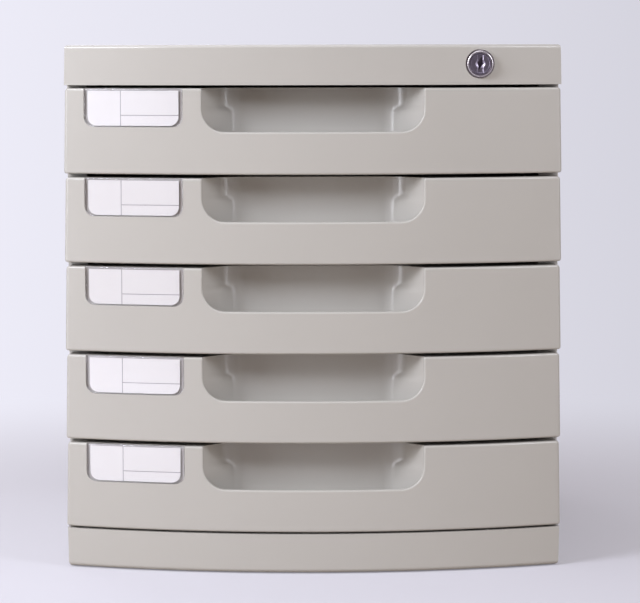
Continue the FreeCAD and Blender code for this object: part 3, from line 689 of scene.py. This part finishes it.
class CABINET_OT_stage(bpy.types.Operator):
    """Sets up the floor, the studio light and the camera"""

    bl_idname = "cabinet.stage"
    bl_label = "Stage"

    def execute(self, context):
        self.lay_floor(context)
        self.light_world(context)
        self.place_lamps(context)
        self.place_camera(context)
        context.scene.view_settings.view_transform = "Standard"
        return {"FINISHED"}

    def lay_floor(self, context):
        deselect()
        bpy.ops.mesh.primitive_circle_add(vertices=96, radius=8.0, fill_type="NGON")
        floor = settle(bpy.context.object, "floor")
        made, tree, shader, place = new_material("paper_seamless_pale")
        colour = context.scene.cabinet_colours.backdrop
        shade = blend(tree, noise(tree, place, 4, Detail=3.0), tone(colour, 0.925), tone(colour, 0.935))
        # Light that it throws back is dim and warm, so that the recesses keep their shade
        path = add_node(tree, "ShaderNodeLightPath")
        seen = blend(tree, path.outputs["Is Diffuse Ray"], shade, opaque("#ab9e90"))
        feed(tree, shader, {"Base Color": seen, "Roughness": 0.9})
        # To the eye the paper near the cabinet is partly a glow of the backdrop colour, painted light that
        # lifts the cabinet's cast shadow, and only that glow from 0.8 m away. The glow carries the backdrop's
        # painted light, lighter on the left.
        fade = spread(tree, reach_of(tree, place), 0.2, 0.8, 0.3, 1.0, "SMOOTHSTEP")
        eye = reckon(tree, "MULTIPLY", path.outputs["Is Camera Ray"], fade)
        from_camera = [-m * MM for m in CAMERA_PLACE]
        way = add_node(tree, "ShaderNodeVectorMath", {0: place, 1: from_camera}, operation="ADD")
        backdrop = self.backdrop_painted_light(tree, way.outputs[0], context)
        glow = add_node(tree, "ShaderNodeEmission", {"Color": backdrop, "Strength": 1.0})
        show(tree, mix_shaders(tree, eye, shader.outputs[0], glow.outputs[0]))
        floor.data.materials.append(made)

    def backdrop_painted_light(self, tree, way, context):
        """The backdrop's colour in one direction from the camera, with painted light: toned lighter on the
        left, towards the key light, and darker on the right.
        """
        colour = context.scene.cabinet_colours.backdrop
        unit = add_node(tree, "ShaderNodeVectorMath", {0: way}, operation="NORMALIZE")
        parts = add_node(tree, "ShaderNodeSeparateXYZ", {"Vector": unit.outputs[0]})
        # Painted light: the colour is raised to the left and lowered to the right, as the key light would
        # fall on the paper
        across = spread(tree, parts.outputs["X"], -0.12, 0.12)
        return blend(tree, across, tone(colour, 1.13), tone(colour, 0.87))

    def light_world(self, context):
        """A pale studio. Eye, gloss and glass see the backdrop, with its painted light lighter on the left,
        and the rest gets plain soft light.
        """
        world = bpy.data.worlds.get("studio") or bpy.data.worlds.new("studio")
        context.scene.world = world
        world.use_nodes = True
        tree = world.node_tree
        tree.nodes.clear()
        way = add_node(tree, "ShaderNodeTexCoord").outputs["Generated"]
        colour = self.backdrop_painted_light(tree, way, context)
        rays = add_node(tree, "ShaderNodeLightPath").outputs
        seen = reckon(tree, "MAXIMUM", rays["Is Camera Ray"], rays["Is Glossy Ray"])
        seen = reckon(tree, "MAXIMUM", seen, rays["Is Transmission Ray"])
        ambient = add_node(tree, "ShaderNodeBackground", {"Color": opaque("#ffe1c4"), "Strength": 0.215})
        # Gloss shows the unlit side of the studio ahead of the cabinet, and the paper all round it
        parts = add_node(tree, "ShaderNodeSeparateXYZ", {"Vector": way})
        behind = spread(tree, parts.outputs["Y"], -0.98, -0.75, kind="SMOOTHSTEP")
        room = blend(tree, behind, opaque("#5d5662"), colour)
        shown = blend(tree, rays["Is Glossy Ray"], colour, room)
        paper = add_node(tree, "ShaderNodeBackground", {"Color": shown, "Strength": 1.0})
        both = mix_shaders(tree, seen, ambient.outputs[0], paper.outputs[0])
        add_node(tree, "ShaderNodeOutputWorld", {"Surface": both})

    def place_lamps(self, context):
        """Soft boxes on the left and right, overhead and far behind, and strips that edge the curves."""
        for name, place, width, height, power in LAMPS:
            lamp = bpy.data.lights.new(name, "AREA")
            lamp.shape = "RECTANGLE"
            lamp.size = width
            lamp.size_y = height
            lamp.energy = power
            lamp.color = linear("#f4f7ff")
            stand = bpy.data.objects.new(name, lamp)
            stand.location = place
            stand.rotation_euler = (LAMP_AIM - Vector(place)).to_track_quat("-Z", "Y").to_euler()
            context.scene.collection.objects.link(stand)

    def place_camera(self, context):
        lens = bpy.data.cameras.new("camera")
        lens.sensor_width = 36.0
        lens.lens = FOCAL_LENGTH
        lens.clip_end = 50.0
        camera = bpy.data.objects.new("camera", lens)
        camera.location = [m * MM for m in CAMERA_PLACE]
        camera.rotation_euler = [math.radians(turn) for turn in (90 - CAMERA_DIP, CAMERA_ROLL, CAMERA_PAN)]
        context.scene.collection.objects.link(camera)
        context.scene.camera = camera


# Top cover and plinth

SHELL_DRAFT = 0.5
SHELL_BOW = (FRONT_Y + 6, FRONT_Y + 40)
COVER_ROOF = 2.2
LOCK_PAD = 17.6
LOCK_PAD_DEPTH = 5.0
LOCK_BORE = 14.0
RIB_XS = (-75, 0, 75)
RIB_HALF = 1.0
RIB_HEIGHT = 4.0
FOOT_XS = (-125.9, 125.9)
FOOT_YS = (-119.0, 151.0)
POST_HALF = 10.5
POST_END_Z = 1.2


def model_shell(name, low, high, end_z, radius, wall, roof):
    """A box, open below, that narrows to one end, with its front corners and that end's edges rounded."""
    piece = block(name, low, high)
    narrow_end(piece, 1 - SHELL_DRAFT / high.x, at(z=end_z))

    def outer_edge(edge):
        upright = runs_along(edge, "z") and lies_at(edge, y=FRONT_Y)
        return upright or lies_at(edge, z=end_z)

    round_over(piece, radius, outer_edge, 6)
    inside_low = (low.x + wall, FRONT_Y + SKIN, low.z - OVERRUN)
    combine(piece, block("inside", inside_low, (high.x - wall, REAR_Y - SKIN, high.z - roof)))
    return piece


class CABINET_OT_top_cover(bpy.types.Operator):
    """Models the moulded hood with its bowed fascia and the seat of the lock"""

    bl_idname = "cabinet.top_cover"
    bl_label = "Top cover"

    def execute(self, context):
        radius = context.scene.cabinet_sizes.cover_round / MM
        low, high = box_mm("top_cover")
        cover = model_shell("top_cover_hood", low, high, high.z, radius, SKIN, COVER_ROOF)
        slice_across(cover)
        bow(cover, *SHELL_BOW)
        z = lock_z()
        pad_back = LOCK_SEAT_Y + LOCK_PAD_DEPTH
        combine(cover, rod("pad", LOCK_X, z, LOCK_PAD, LOCK_SEAT_Y, pad_back), "UNION")
        combine(cover, rod("seat", LOCK_X, z, LOCK_PAD, FRONT_Y - OVERRUN, LOCK_SEAT_Y))
        combine(cover, rod("bore", LOCK_X, z, LOCK_BORE, FRONT_Y, pad_back + OVERRUN))
        smooth(cover)
        dress(cover, "cabinet", "putty_abs", "abs_putty_moulded")
        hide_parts("top_cover")
        return {"FINISHED"}


class CABINET_OT_plinth(bpy.types.Operator):
    """Models the bowed plinth, hollow from below"""

    bl_idname = "cabinet.plinth"
    bl_label = "Plinth"

    def execute(self, context):
        radius = context.scene.cabinet_sizes.plinth_round / MM
        low, high = box_mm("base_plinth")
        plinth = model_shell("base_plinth_skirt", low, high, low.z, radius, SKIN + SHELL_DRAFT, SKIN)
        root = high.z - OVERLAP
        for x in RIB_XS:
            rib_low = (x - RIB_HALF, FRONT_Y + OVERLAP, high.z - SKIN - RIB_HEIGHT)
            combine(plinth, block("rib", rib_low, (x + RIB_HALF, REAR_Y - OVERLAP, root)), "UNION")
        slice_across(plinth)
        bow(plinth, *SHELL_BOW)
        for x in FOOT_XS:
            for y in FOOT_YS:
                post_low = (x - POST_HALF, y - POST_HALF, POST_END_Z)
                combine(plinth, block("post", post_low, (x + POST_HALF, y + POST_HALF, root)), "UNION")
        smooth(plinth)
        dress(plinth, "cabinet", "putty_abs", "abs_putty_moulded")
        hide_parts("base_plinth")
        return {"FINISHED"}


# Drawer fronts. Each level of the recess has the half width of its back wall and the radius of its corners.

FRONT_BACK_Y = -130.5
FRONT_DRAFT = 0.9
TOP_CORNER = 2.0
FOOT_CORNER = 1.6
MOUTH_HALF = 66.2
MOUTH_DEPTH = 26.0
MOUTH_CORNER = 13.5
MOUTH_HORN = 1.4
MOUTH_RUN_IN = 0.1
RECESS_DROP = 6.0
RECESS_STEP = 12.8
LOWER_LEVEL = (46.6, 4.8)
UPPER_LEVEL = (51.0, 10.0)
RECESS_BACK_WALL = 2.0
RECESS_SIDE_WALL = 3.0
HOOK_ROOT_Y = FRONT_Y + 3
HOOK_LENGTH = 2.2
HOOK_CHAMFER = 1.3


def hook_rows():
    """For both rows of hooks on drawer 1: the height of the arms' flat side, and where their barbs point."""
    low, high = box_mm("drawer_1_tray")
    return ((low.z + HOOK_LEVEL, -1), (high.z - HOOK_LEVEL, 1))


class CABINET_OT_drawer_fronts(bpy.types.Operator):
    """Models one bowed drawer front with its finger recess, and copies it for the other drawers"""

    bl_idname = "cabinet.drawer_fronts"
    bl_label = "Drawer fronts"

    def execute(self, context):
        sizes = context.scene.cabinet_sizes
        low, high = box_mm("drawer_1_front")
        high.y = FRONT_BACK_Y
        front = block("drawer_1_front_moulding", (low.x, FRONT_Y, low.z), high)
        narrow_end(front, 1 - FRONT_DRAFT / high.x, at(z=high.z))
        round_over(front, TOP_CORNER, along("y", z=high.z))
        round_over(front, FOOT_CORNER, along("y", z=low.z))
        self.hollow_out(front, low, high)
        self.add_hooks(front)
        self.open_mouth(front, high, sizes.step_blend / MM)
        round_over(front, sizes.edge_round / MM, at(y=FRONT_Y), 5)
        self.let_in_label(front, high)
        bow_face(front)
        smooth(front)
        fit_drawers(front, "front", "putty_abs", "abs_putty_moulded")
        return {"FINISHED"}

    def hollow_out(self, front, low, high):
        """Thin walls round the edge, with the room behind them for the tray."""
        bottom, top = low.z + SKIN, high.z - SKIN
        side = high.x - FRONT_DRAFT - SKIN
        deep = FRONT_Y + FACE_DEPTH
        behind = RECESS_BACK_Y + RECESS_BACK_WALL
        past = FRONT_BACK_Y + OVERRUN
        combine(front, block("behind", (-side, behind, bottom), (side, past, top)))
        recess = MOUTH_HALF + RECESS_SIDE_WALL
        for span in ((-side, -recess), (recess, side)):
            combine(front, block("beside", (span[0], deep, bottom), (span[1], behind + OVERLAP, top)))
        floor = high.z - MOUTH_DEPTH - RECESS_DROP - RECESS_BACK_WALL
        reach = recess + OVERLAP
        combine(front, block("below", (-reach, deep, bottom), (reach, behind + OVERLAP, floor)))

    def add_hooks(self, front):
        """Two pairs of hooks that grip behind the tray's front wall."""
        grip_y = box_mm("drawer_1_tray")[0].y + HOOK_GRIP
        end_y = grip_y + HOOK_LENGTH
        for x in (-HOOK_X, HOOK_X):
            for flat, way in hook_rows():
                arm_low, arm_high = sorted((flat, flat + way * HOOK_ARM))
                arm = block("arm", (x - HOOK_HALF, HOOK_ROOT_Y, arm_low), (x + HOOK_HALF, end_y, arm_high))
                tip = flat + way * (HOOK_ARM + HOOK_BARB)
                barb_low, barb_high = sorted((flat, tip))
                barb = block("barb", (x - HOOK_HALF, grip_y, barb_low), (x + HOOK_HALF, end_y, barb_high))
                round_over(barb, HOOK_CHAMFER, at(y=end_y, z=tip), 1)
                combine(arm, barb, "UNION")
                combine(front, arm, "UNION")

    def open_mouth(self, front, high, blend_height):
        """The mouth through the face and the stepped pocket behind it."""
        lip = high.z - MOUTH_DEPTH
        mouth_low = (-MOUTH_HALF, FRONT_Y - OVERRUN, lip)
        mouth = block("mouth", mouth_low, (MOUTH_HALF, FRONT_Y + SKIN + MOUTH_RUN_IN, high.z + OVERRUN))
        round_over(mouth, MOUTH_CORNER, along("y", z=lip), 14)
        combine(front, mouth)
        for side in (-MOUTH_HALF, MOUTH_HALF):
            round_over(front, MOUTH_HORN, along("y", x=side, z=high.z), 4)
        lower_top = high.z - RECESS_STEP - blend_height / 2
        upper_foot = lower_top + blend_height
        upper = self.pocket_part("upper", upper_foot, high.z + OVERRUN, *UPPER_LEVEL)
        lower = self.pocket_part("lower", lip - RECESS_DROP, lower_top, *LOWER_LEVEL)
        pocket = join([lower, upper])

        def facing(element):
            return lies_at(element, z=lower_top) or lies_at(element, z=upper_foot)

        pick(pocket, "FACE", facing)
        bpy.ops.mesh.delete(type="ONLY_FACE")
        pick(pocket, "EDGE", facing)
        bpy.ops.mesh.bridge_edge_loops(number_cuts=8, interpolation="SURFACE", smoothness=1.0)
        bpy.ops.mesh.select_all(action="SELECT")
        bpy.ops.mesh.normals_make_consistent(inside=False)
        combine(front, pocket)

    def pocket_part(self, name, z_from, z_to, back_half, corner):
        """One level of the pocket: as wide as the mouth ahead, and narrower and round-cornered behind."""
        part = block(name, (-MOUTH_HALF, FRONT_Y + SKIN, z_from), (MOUTH_HALF, RECESS_BACK_Y, z_to))
        narrow_end(part, back_half / MOUTH_HALF, at(y=RECESS_BACK_Y))
        round_over(part, corner, along("z", y=RECESS_BACK_Y), 8)
        return part

    def let_in_label(self, front, high):
        """The seat of the label holder, open at the top edge."""
        half = LABEL_HALF + LABEL_PLAY
        foot = high.z - LABEL_HEIGHT - LABEL_PLAY
        seat_low = (LABEL_CENTRE - half, FRONT_Y - OVERRUN, foot)
        seat_high = (LABEL_CENTRE + half, FRONT_Y + LABEL_DEPTH + LABEL_PLAY, high.z + OVERRUN)
        seat = block("seat", seat_low, seat_high)
        round_over(seat, LABEL_CORNER + LABEL_PLAY, along("y", z=foot), 8)
        combine(front, seat)


# Label holders and cards

HOLDER_TOP_GAP = 0.15
HOLDER_EDGE = 0.55
SLOT_SIDE_WALL = 2.2
SLOT_FOOT_WALL = 0.6
SLOT_FRONT_WALL = 1.0
SLOT_THICKNESS = 0.6
CARD_CORNER = 5.4
CARD_PLAY = 0.15
CARD_TOP_GAP = 1.5
COLUMN_X = -115.2
ROW_DROP = 16.2


class CABINET_OT_label_holders(bpy.types.Operator):
    """Models the clear holder and the lined card in it, and copies both for the other drawers"""

    bl_idname = "cabinet.label_holders"
    bl_label = "Label holders and cards"

    def execute(self, context):
        top = box_mm("drawer_1_front")[1].z
        fit_drawers(self.model_holder(top), "label_cover", "clear_styrene", "polystyrene_clear_moulded")
        line = context.scene.cabinet_sizes.card_line / MM
        fit_drawers(self.model_card(top, line), "label_card", "label_card")
        return {"FINISHED"}

    def model_holder(self, top):
        foot = top - LABEL_HEIGHT
        left, right = LABEL_CENTRE - LABEL_HALF, LABEL_CENTRE + LABEL_HALF
        holder_high = (right, FRONT_Y + LABEL_DEPTH, top - HOLDER_TOP_GAP)
        holder = block("drawer_1_label_cover_detail", (left, FRONT_Y, foot), holder_high)
        round_over(holder, LABEL_CORNER, along("y", z=foot), 8)
        round_over(holder, HOLDER_EDGE, at(y=FRONT_Y), 5)
        slot_y, slot_z = FRONT_Y + SLOT_FRONT_WALL, foot + SLOT_FOOT_WALL
        slot_high = (right - SLOT_SIDE_WALL, slot_y + SLOT_THICKNESS, top + OVERRUN)
        slot = block("slot", (left + SLOT_SIDE_WALL, slot_y, slot_z), slot_high)
        round_over(slot, CARD_CORNER, along("y", z=slot_z), 8)
        combine(holder, slot)
        bow_face(holder)
        smooth(holder)
        return holder

    def model_card(self, top, line):
        half = LABEL_HALF - SLOT_SIDE_WALL - CARD_PLAY
        face_y = FRONT_Y + SLOT_FRONT_WALL + CARD_PLAY
        back_y = FRONT_Y + SLOT_FRONT_WALL + SLOT_THICKNESS - CARD_PLAY
        foot = top - LABEL_HEIGHT + SLOT_FOOT_WALL + CARD_PLAY
        card_high = (LABEL_CENTRE + half, back_y, top - CARD_TOP_GAP)
        card = block("drawer_1_label_card_detail", (LABEL_CENTRE - half, face_y, foot), card_high)
        round_over(card, CARD_CORNER, along("y", z=foot), 8)
        row = top - ROW_DROP
        bisect(card, (1, 0, 0), (COLUMN_X - line / 2, COLUMN_X + line / 2))
        bisect(card, (0, 0, 1), (row - line / 2, row + line / 2))

        def printed(face):
            middle = face.calc_center_median() / MM
            on_column = abs(middle.x - COLUMN_X) < line / 2
            on_row = abs(middle.z - row) < line / 2 and middle.x > COLUMN_X
            return lies_at(face, y=face_y) and (on_column or on_row)

        slice_across(card)
        for name in ("card_white_coated", "ink_grey_printed"):
            card.data.materials.append(finish(name))
        pick(card, "FACE", printed)
        card.active_material_index = 1
        bpy.ops.object.material_slot_assign()
        deselect()
        bow(card, FRONT_Y + FACE_DEPTH, RECESS_BACK_Y)
        smooth(card)
        return card


class CABINET_OT_carcass(bpy.types.Operator):
    """Refines the side panels, the back panel and the feet"""

    bl_idname = "cabinet.carcass"
    bl_label = "Side panels, back panel and feet"

    def execute(self, context):
        for node in ("left_side_panel", "right_side_panel", "back_panel"):
            refine(node, 0.35, "cabinet", "putty_abs", "abs_putty_moulded")
        refine("rubber_feet", 0.4, "cabinet", "foot_rubber", "rubber_black_moulded")
        return {"FINISHED"}


# Screws. An arm of the cross recess has its half length and half width, and narrows to a share at its floor.

SCREW_HEAD_HALF = 3.0
SCREW_HEAD_HEIGHT = 1.6
SCREW_HEAD_DOME = 1.1
SHANK_STEPS = ((1.5, (0, 0, 0)), (0, (0, -9.2, 0)), (0.9, (0, -0.8, 0)))
CROSS_ARM = (1.9, 0.45)
CROSS_FLOOR_Y = 0.4
CROSS_TOP_Y = 3.0
CROSS_FLOOR_SHARE = 0.45


class CABINET_OT_screws(bpy.types.Operator):
    """Models one pan head screw with a cross recess, and copies it to every place"""

    bl_idname = "cabinet.screws"
    bl_label = "Screws"

    def execute(self, context):
        screw = self.model_screw()
        half = SCREW_HEAD_HALF
        low, high = box_mm("back_screws")
        columns = (half - high.x, high.x - half)
        rows = (low.z + half, (low.z + high.z) / 2, high.z - half)
        seat = high.y - SCREW_HEAD_HEIGHT
        self.set_out(screw, "back_screws", [(x, seat, z) for x in columns for z in rows])
        turn_piece(screw, -90, "X")
        for node in ("plinth_screws", "cover_screws"):
            low, high = box_mm(node)
            columns = (half - high.x, high.x - half)
            depths = (low.y + half, high.y - half)
            seat = low.z + SCREW_HEAD_HEIGHT
            self.set_out(screw, node, [(x, y, seat) for x in columns for y in depths])
        bpy.data.objects.remove(screw)
        return {"FINISHED"}

    def model_screw(self):
        """A screw along the Y axis, with the seat of its head at the origin and its tip towards the front."""
        screw = rod("screw", 0, 0, 2 * SCREW_HEAD_HALF, 0, SCREW_HEAD_HEIGHT, 48)
        round_over(screw, SCREW_HEAD_DOME, at(y=SCREW_HEAD_HEIGHT), 5)
        step_face(screw, at(y=0), SHANK_STEPS)
        for x, z in (CROSS_ARM, CROSS_ARM[::-1]):
            arm = block("arm", (-x, CROSS_FLOOR_Y, -z), (x, CROSS_TOP_Y, z))
            taper = (CROSS_FLOOR_SHARE, 1, 1) if x > z else (1, 1, CROSS_FLOOR_SHARE)
            resize_at(arm, taper, (0, 0, 0), at(y=CROSS_FLOOR_Y))
            combine(screw, arm)
        smooth(screw)
        return screw

    def set_out(self, screw, node, places):
        """Copies the screw to all the places of a node, as one piece."""
        screws = join([copy_piece(screw, node + "_pan_head", place) for place in places])
        dress(screws, "cabinet", "zinc_steel", "steel_zinc_plated")
        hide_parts(node)


# Trays

TRAY_CORNER = 5.0
TRAY_FOOT_ROUND = 1.2
TRAY_FLOOR = 2.2
FLOOR_CHAMFER = 0.8
RIM_WIDTH = 1.0
RIM_DEPTH = 2.0
LEDGE_WIDTH = 1.2
FLOOR_RIB_SHARES = (-0.6, -0.2, 0.2, 0.6)
FLOOR_RIB_HALF = 1.5
FLOOR_RIB_HEIGHT = 0.8
FLOOR_RIB_ROUND = 0.4
FLOOR_RIB_INSET = 38.0
EAR_REACH = 1.4
EAR_ROOT = 1.9
EAR_INSET = 0.8
EAR_THICKNESS = 2.2
EAR_FOOT = 7.3
RIM_ROUND = 0.3


class CABINET_OT_trays(bpy.types.Operator):
    """Models one drawer tray and copies it for the other drawers"""

    bl_idname = "cabinet.trays"
    bl_label = "Drawer trays"

    def execute(self, context):
        low, high = box_mm("drawer_1_tray")
        fit_drawers(self.model_tray(low, high), "tray", "tray_abs", "abs_tray_moulded")
        return {"FINISHED"}

    def model_tray(self, low, high):
        """A thin-walled tray with a stepped rim, ribs under the papers and ears that stop it."""
        half = high.x - EAR_REACH
        tray = block("drawer_1_tray_moulding", (-half, low.y, low.z), (half, high.y, high.z))
        round_over(tray, TRAY_CORNER, lambda e: runs_along(e, "z"), 6)
        round_over(tray, TRAY_FOOT_ROUND, at(z=low.z), 3)
        floor_z = low.z + TRAY_FLOOR
        fall = floor_z + FLOOR_CHAMFER - (high.z - RIM_DEPTH)
        rim = ((RIM_WIDTH, (0, 0, 0)), (0, (0, 0, -RIM_DEPTH)), (LEDGE_WIDTH, (0, 0, 0)))
        inside = ((0, (0, 0, fall)), (FLOOR_CHAMFER, (0, 0, -FLOOR_CHAMFER)))
        step_face(tray, at(z=high.z), rim + inside)
        rib_top = floor_z + FLOOR_RIB_HEIGHT
        for share in FLOOR_RIB_SHARES:
            x = share * half
            rib_low = (x - FLOOR_RIB_HALF, low.y + FLOOR_RIB_INSET, floor_z - OVERLAP)
            rib = block("rib", rib_low, (x + FLOOR_RIB_HALF, high.y - FLOOR_RIB_INSET, rib_top))
            round_over(rib, FLOOR_RIB_ROUND, at(z=rib_top), 2)
            combine(tray, rib, "UNION")
        for side in (-1, 1):
            self.add_ear(tray, side, half, low, high)
            self.cut_hook_slots(tray, side * HOOK_X, low)
        round_over(tray, RIM_ROUND, lambda e: lies_at(e, z=high.z) and e.calc_face_angle(0) > math.pi / 4, 2)
        smooth(tray)
        return tray

    def add_ear(self, tray, side, half, low, high):
        """The ear at the rear that meets the side panel's stop."""
        near, far = sorted((side * (half - EAR_ROOT), side * high.x))
        back = high.y - EAR_INSET
        ear_low = (near, back - EAR_THICKNESS, low.z + EAR_FOOT)
        combine(tray, block("ear", ear_low, (far, back, high.z)), "UNION")

    def cut_hook_slots(self, tray, x, low):
        """The slots in the front wall that take the drawer front's hooks."""
        half = HOOK_HALF + HOOK_PLAY
        for flat, way in hook_rows():
            foot, head = sorted((flat - way * HOOK_PLAY, flat + way * (HOOK_ARM + HOOK_BARB + HOOK_PLAY)))
            slot_low = (x - half, low.y - OVERLAP, foot)
            combine(tray, block("slot", slot_low, (x + half, low.y + HOOK_GRIP, head)))


# Lock. A step narrows a face and then moves it, and the keyway is a square rod, stretched and slanted.

FLANGE_DIAMETER = 17.0
FLANGE_DEPTH = 0.7
RING_INSET = 0.5
RING_ROUND = 1.1
BEZEL_RECESS = ((0.25, (0, 0.1, 0)), (0, (0, 1.5, 0)))
BARREL_INSET = 1.7
BEZEL_BORE = 10.1
PLUG_DIAMETER = 13.2
PLUG_HEAD_DEPTH = 1.0
PLUG_HEAD_ROUND = 0.3
PLUG_RINGS = (
    (0.1, (0, 0, 0)),
    (0.12, (0, 0.25, 0)),
    (0.2, (0, 0, 0)),
    (0.12, (0, -0.25, 0)),
    (0.2, (0, 0, 0)),
    (0.15, (0, 0.12, 0)),
)
PLUG_SHANK_INSET = 1.6
TANG_HALF = 3.0
TANG_LENGTH = 2.0
FLAT_HALF_WIDTH = 1.5
FLAT_HALF_HEIGHT = 5.0
FLAT_DEPTH = 0.5
FLAT_FLARE = (2.2, 1, 1.2)
DISH_RADIUS = 4.6
DISH_AHEAD = 3.4
KEYWAY_LIFT = 0.4
KEYWAY_WIDTH = 2.0
KEYWAY_DEPTH = 12.0
KEYWAY_STRETCH = (1.7, 1, 3.9)
KEYWAY_SLANT = -9.5


class CABINET_OT_lock(bpy.types.Operator):
    """Models the lock's bezel with its barrel, and the plug with its keyway"""

    bl_idname = "cabinet.lock"
    bl_label = "Lock"

    def execute(self, context):
        self.model_bezel()
        self.model_plug()
        return {"FINISHED"}

    def model_bezel(self):
        low, high = box_mm("lock_housing")
        z = lock_z()
        flange_y = LOCK_SEAT_Y - FLANGE_DEPTH
        bezel = rod("lock_housing_bezel", LOCK_X, z, FLANGE_DIAMETER, flange_y, LOCK_SEAT_Y, 128)
        ring = ((RING_INSET, (0, 0, 0)), (0, (0, low.y - flange_y, 0)))
        step_face(bezel, at(y=flange_y), ring)
        round_over(bezel, RING_ROUND, at(y=low.y), 10)
        step_face(bezel, at(y=low.y), BEZEL_RECESS)
        barrel = ((BARREL_INSET, (0, 0, 0)), (0, (0, high.y - LOCK_SEAT_Y, 0)))
        step_face(bezel, at(y=LOCK_SEAT_Y), barrel)
        combine(bezel, rod("bore", LOCK_X, z, BEZEL_BORE, low.y - OVERRUN, high.y + OVERRUN, 128))
        smooth(bezel)
        dress(bezel, "cabinet", "nickel_plate", "nickel_bezel_turned")
        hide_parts("lock_housing")

    def model_plug(self):
        """Rings turned in the face, a flat cut across it, a dish and the slanted keyway."""
        low, high = box_mm("lock_plug")
        x, y, z = LOCK_X, low.y, lock_z()
        head_y = y + PLUG_HEAD_DEPTH
        plug = rod("lock_plug_core", x, z, PLUG_DIAMETER, y, head_y, 128)
        round_over(plug, PLUG_HEAD_ROUND, at(y=y), 4)
        step_face(plug, at(y=y), PLUG_RINGS)
        tang_y = high.y - TANG_LENGTH
        shank = ((PLUG_SHANK_INSET, (0, 0, 0)), (0, (0, tang_y - head_y, 0)))
        step_face(plug, at(y=head_y), shank)
        tang_low = (x - TANG_HALF, tang_y - OVERLAP, z - TANG_HALF)
        combine(plug, block("tang", tang_low, (x + TANG_HALF, high.y, z + TANG_HALF)), "UNION")
        ahead = y - OVERLAP
        flat_low = (x - FLAT_HALF_WIDTH, ahead, z - FLAT_HALF_HEIGHT)
        flat = block("flat", flat_low, (x + FLAT_HALF_WIDTH, y + FLAT_DEPTH, z + FLAT_HALF_HEIGHT))
        resize_at(flat, FLAT_FLARE, (x, y, z), at(y=ahead))
        combine(plug, flat)
        deselect()
        centre = (x * MM, (y - DISH_AHEAD) * MM, z * MM)
        reach = DISH_RADIUS * MM
        bpy.ops.mesh.primitive_uv_sphere_add(segments=96, ring_count=48, radius=reach, location=centre)
        combine(plug, settle(bpy.context.object, "dish"))
        key_place = (x, y, z + KEYWAY_LIFT)
        keyway = rod("keyway", x, z + KEYWAY_LIFT, KEYWAY_WIDTH, ahead, y + KEYWAY_DEPTH, 4)
        resize_at(keyway, KEYWAY_STRETCH, key_place, lambda v: True)
        turn_piece(keyway, KEYWAY_SLANT, "Y", key_place)
        combine(plug, keyway)
        smooth(plug)
        dress(plug, "lock_core", "nickel_plate", "nickel_plug_turned")
        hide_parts("lock_plug")


class CABINET_OT_locking_gear(bpy.types.Operator):
    """Refines the nut, the cam, the locking bar with its hooks and the drawers' catches"""

    bl_idname = "cabinet.locking_gear"
    bl_label = "Locking gear"

    def execute(self, context):
        gear = {"lock_nut": "cabinet", "lock_cam": "lock_core", "cam_screw": "lock_core"}
        gear.update({"locking_bar": "lock_bar", "bar_hooks": "lock_bar"})
        gear.update({"drawer_%d_catch" % number: "drawer_%d" % number for number in DRAWERS})
        for node, body in gear.items():
            refine(node, 0.2, body, "zinc_steel", "steel_zinc_plated")
        return {"FINISHED"}


class CABINET_PT_pieces(bpy.types.Panel):
    bl_idname = "CABINET_PT_pieces"
    bl_label = "Desktop file cabinet"
    bl_space_type = "VIEW_3D"
    bl_region_type = "UI"
    bl_category = "Cabinet"

    def draw(self, context):
        column = self.layout.column()
        for piece in OPERATORS:
            column.operator(piece.bl_idname)
        for group in (context.scene.cabinet_sizes, context.scene.cabinet_colours):
            for name in group.__annotations__:
                column.prop(group, name)


OPERATORS = (
    CABINET_OT_stage,
    CABINET_OT_top_cover,
    CABINET_OT_plinth,
    CABINET_OT_drawer_fronts,
    CABINET_OT_label_holders,
    CABINET_OT_carcass,
    CABINET_OT_screws,
    CABINET_OT_trays,
    CABINET_OT_lock,
    CABINET_OT_locking_gear,
)
CLASSES = (CabinetSizes, CabinetColours, *OPERATORS, CABINET_PT_pieces)


def register():
    for each in CLASSES:
        bpy.utils.register_class(each)
    bpy.types.Scene.cabinet_sizes = PointerProperty(type=CabinetSizes)
    bpy.types.Scene.cabinet_colours = PointerProperty(type=CabinetColours)


def unregister():
    del bpy.types.Scene.cabinet_colours
    del bpy.types.Scene.cabinet_sizes
    for each in reversed(CLASSES):
        bpy.utils.unregister_class(each)


def main():
    register()
    bpy.ops.cabinet.stage()
    bpy.ops.cabinet.top_cover()
    bpy.ops.cabinet.plinth()
    bpy.ops.cabinet.drawer_fronts()
    bpy.ops.cabinet.label_holders()
    bpy.ops.cabinet.carcass()
    bpy.ops.cabinet.screws()
    bpy.ops.cabinet.trays()
    bpy.ops.cabinet.lock()
    bpy.ops.cabinet.locking_gear()
    deselect()


if __name__ == "__main__":
    main()
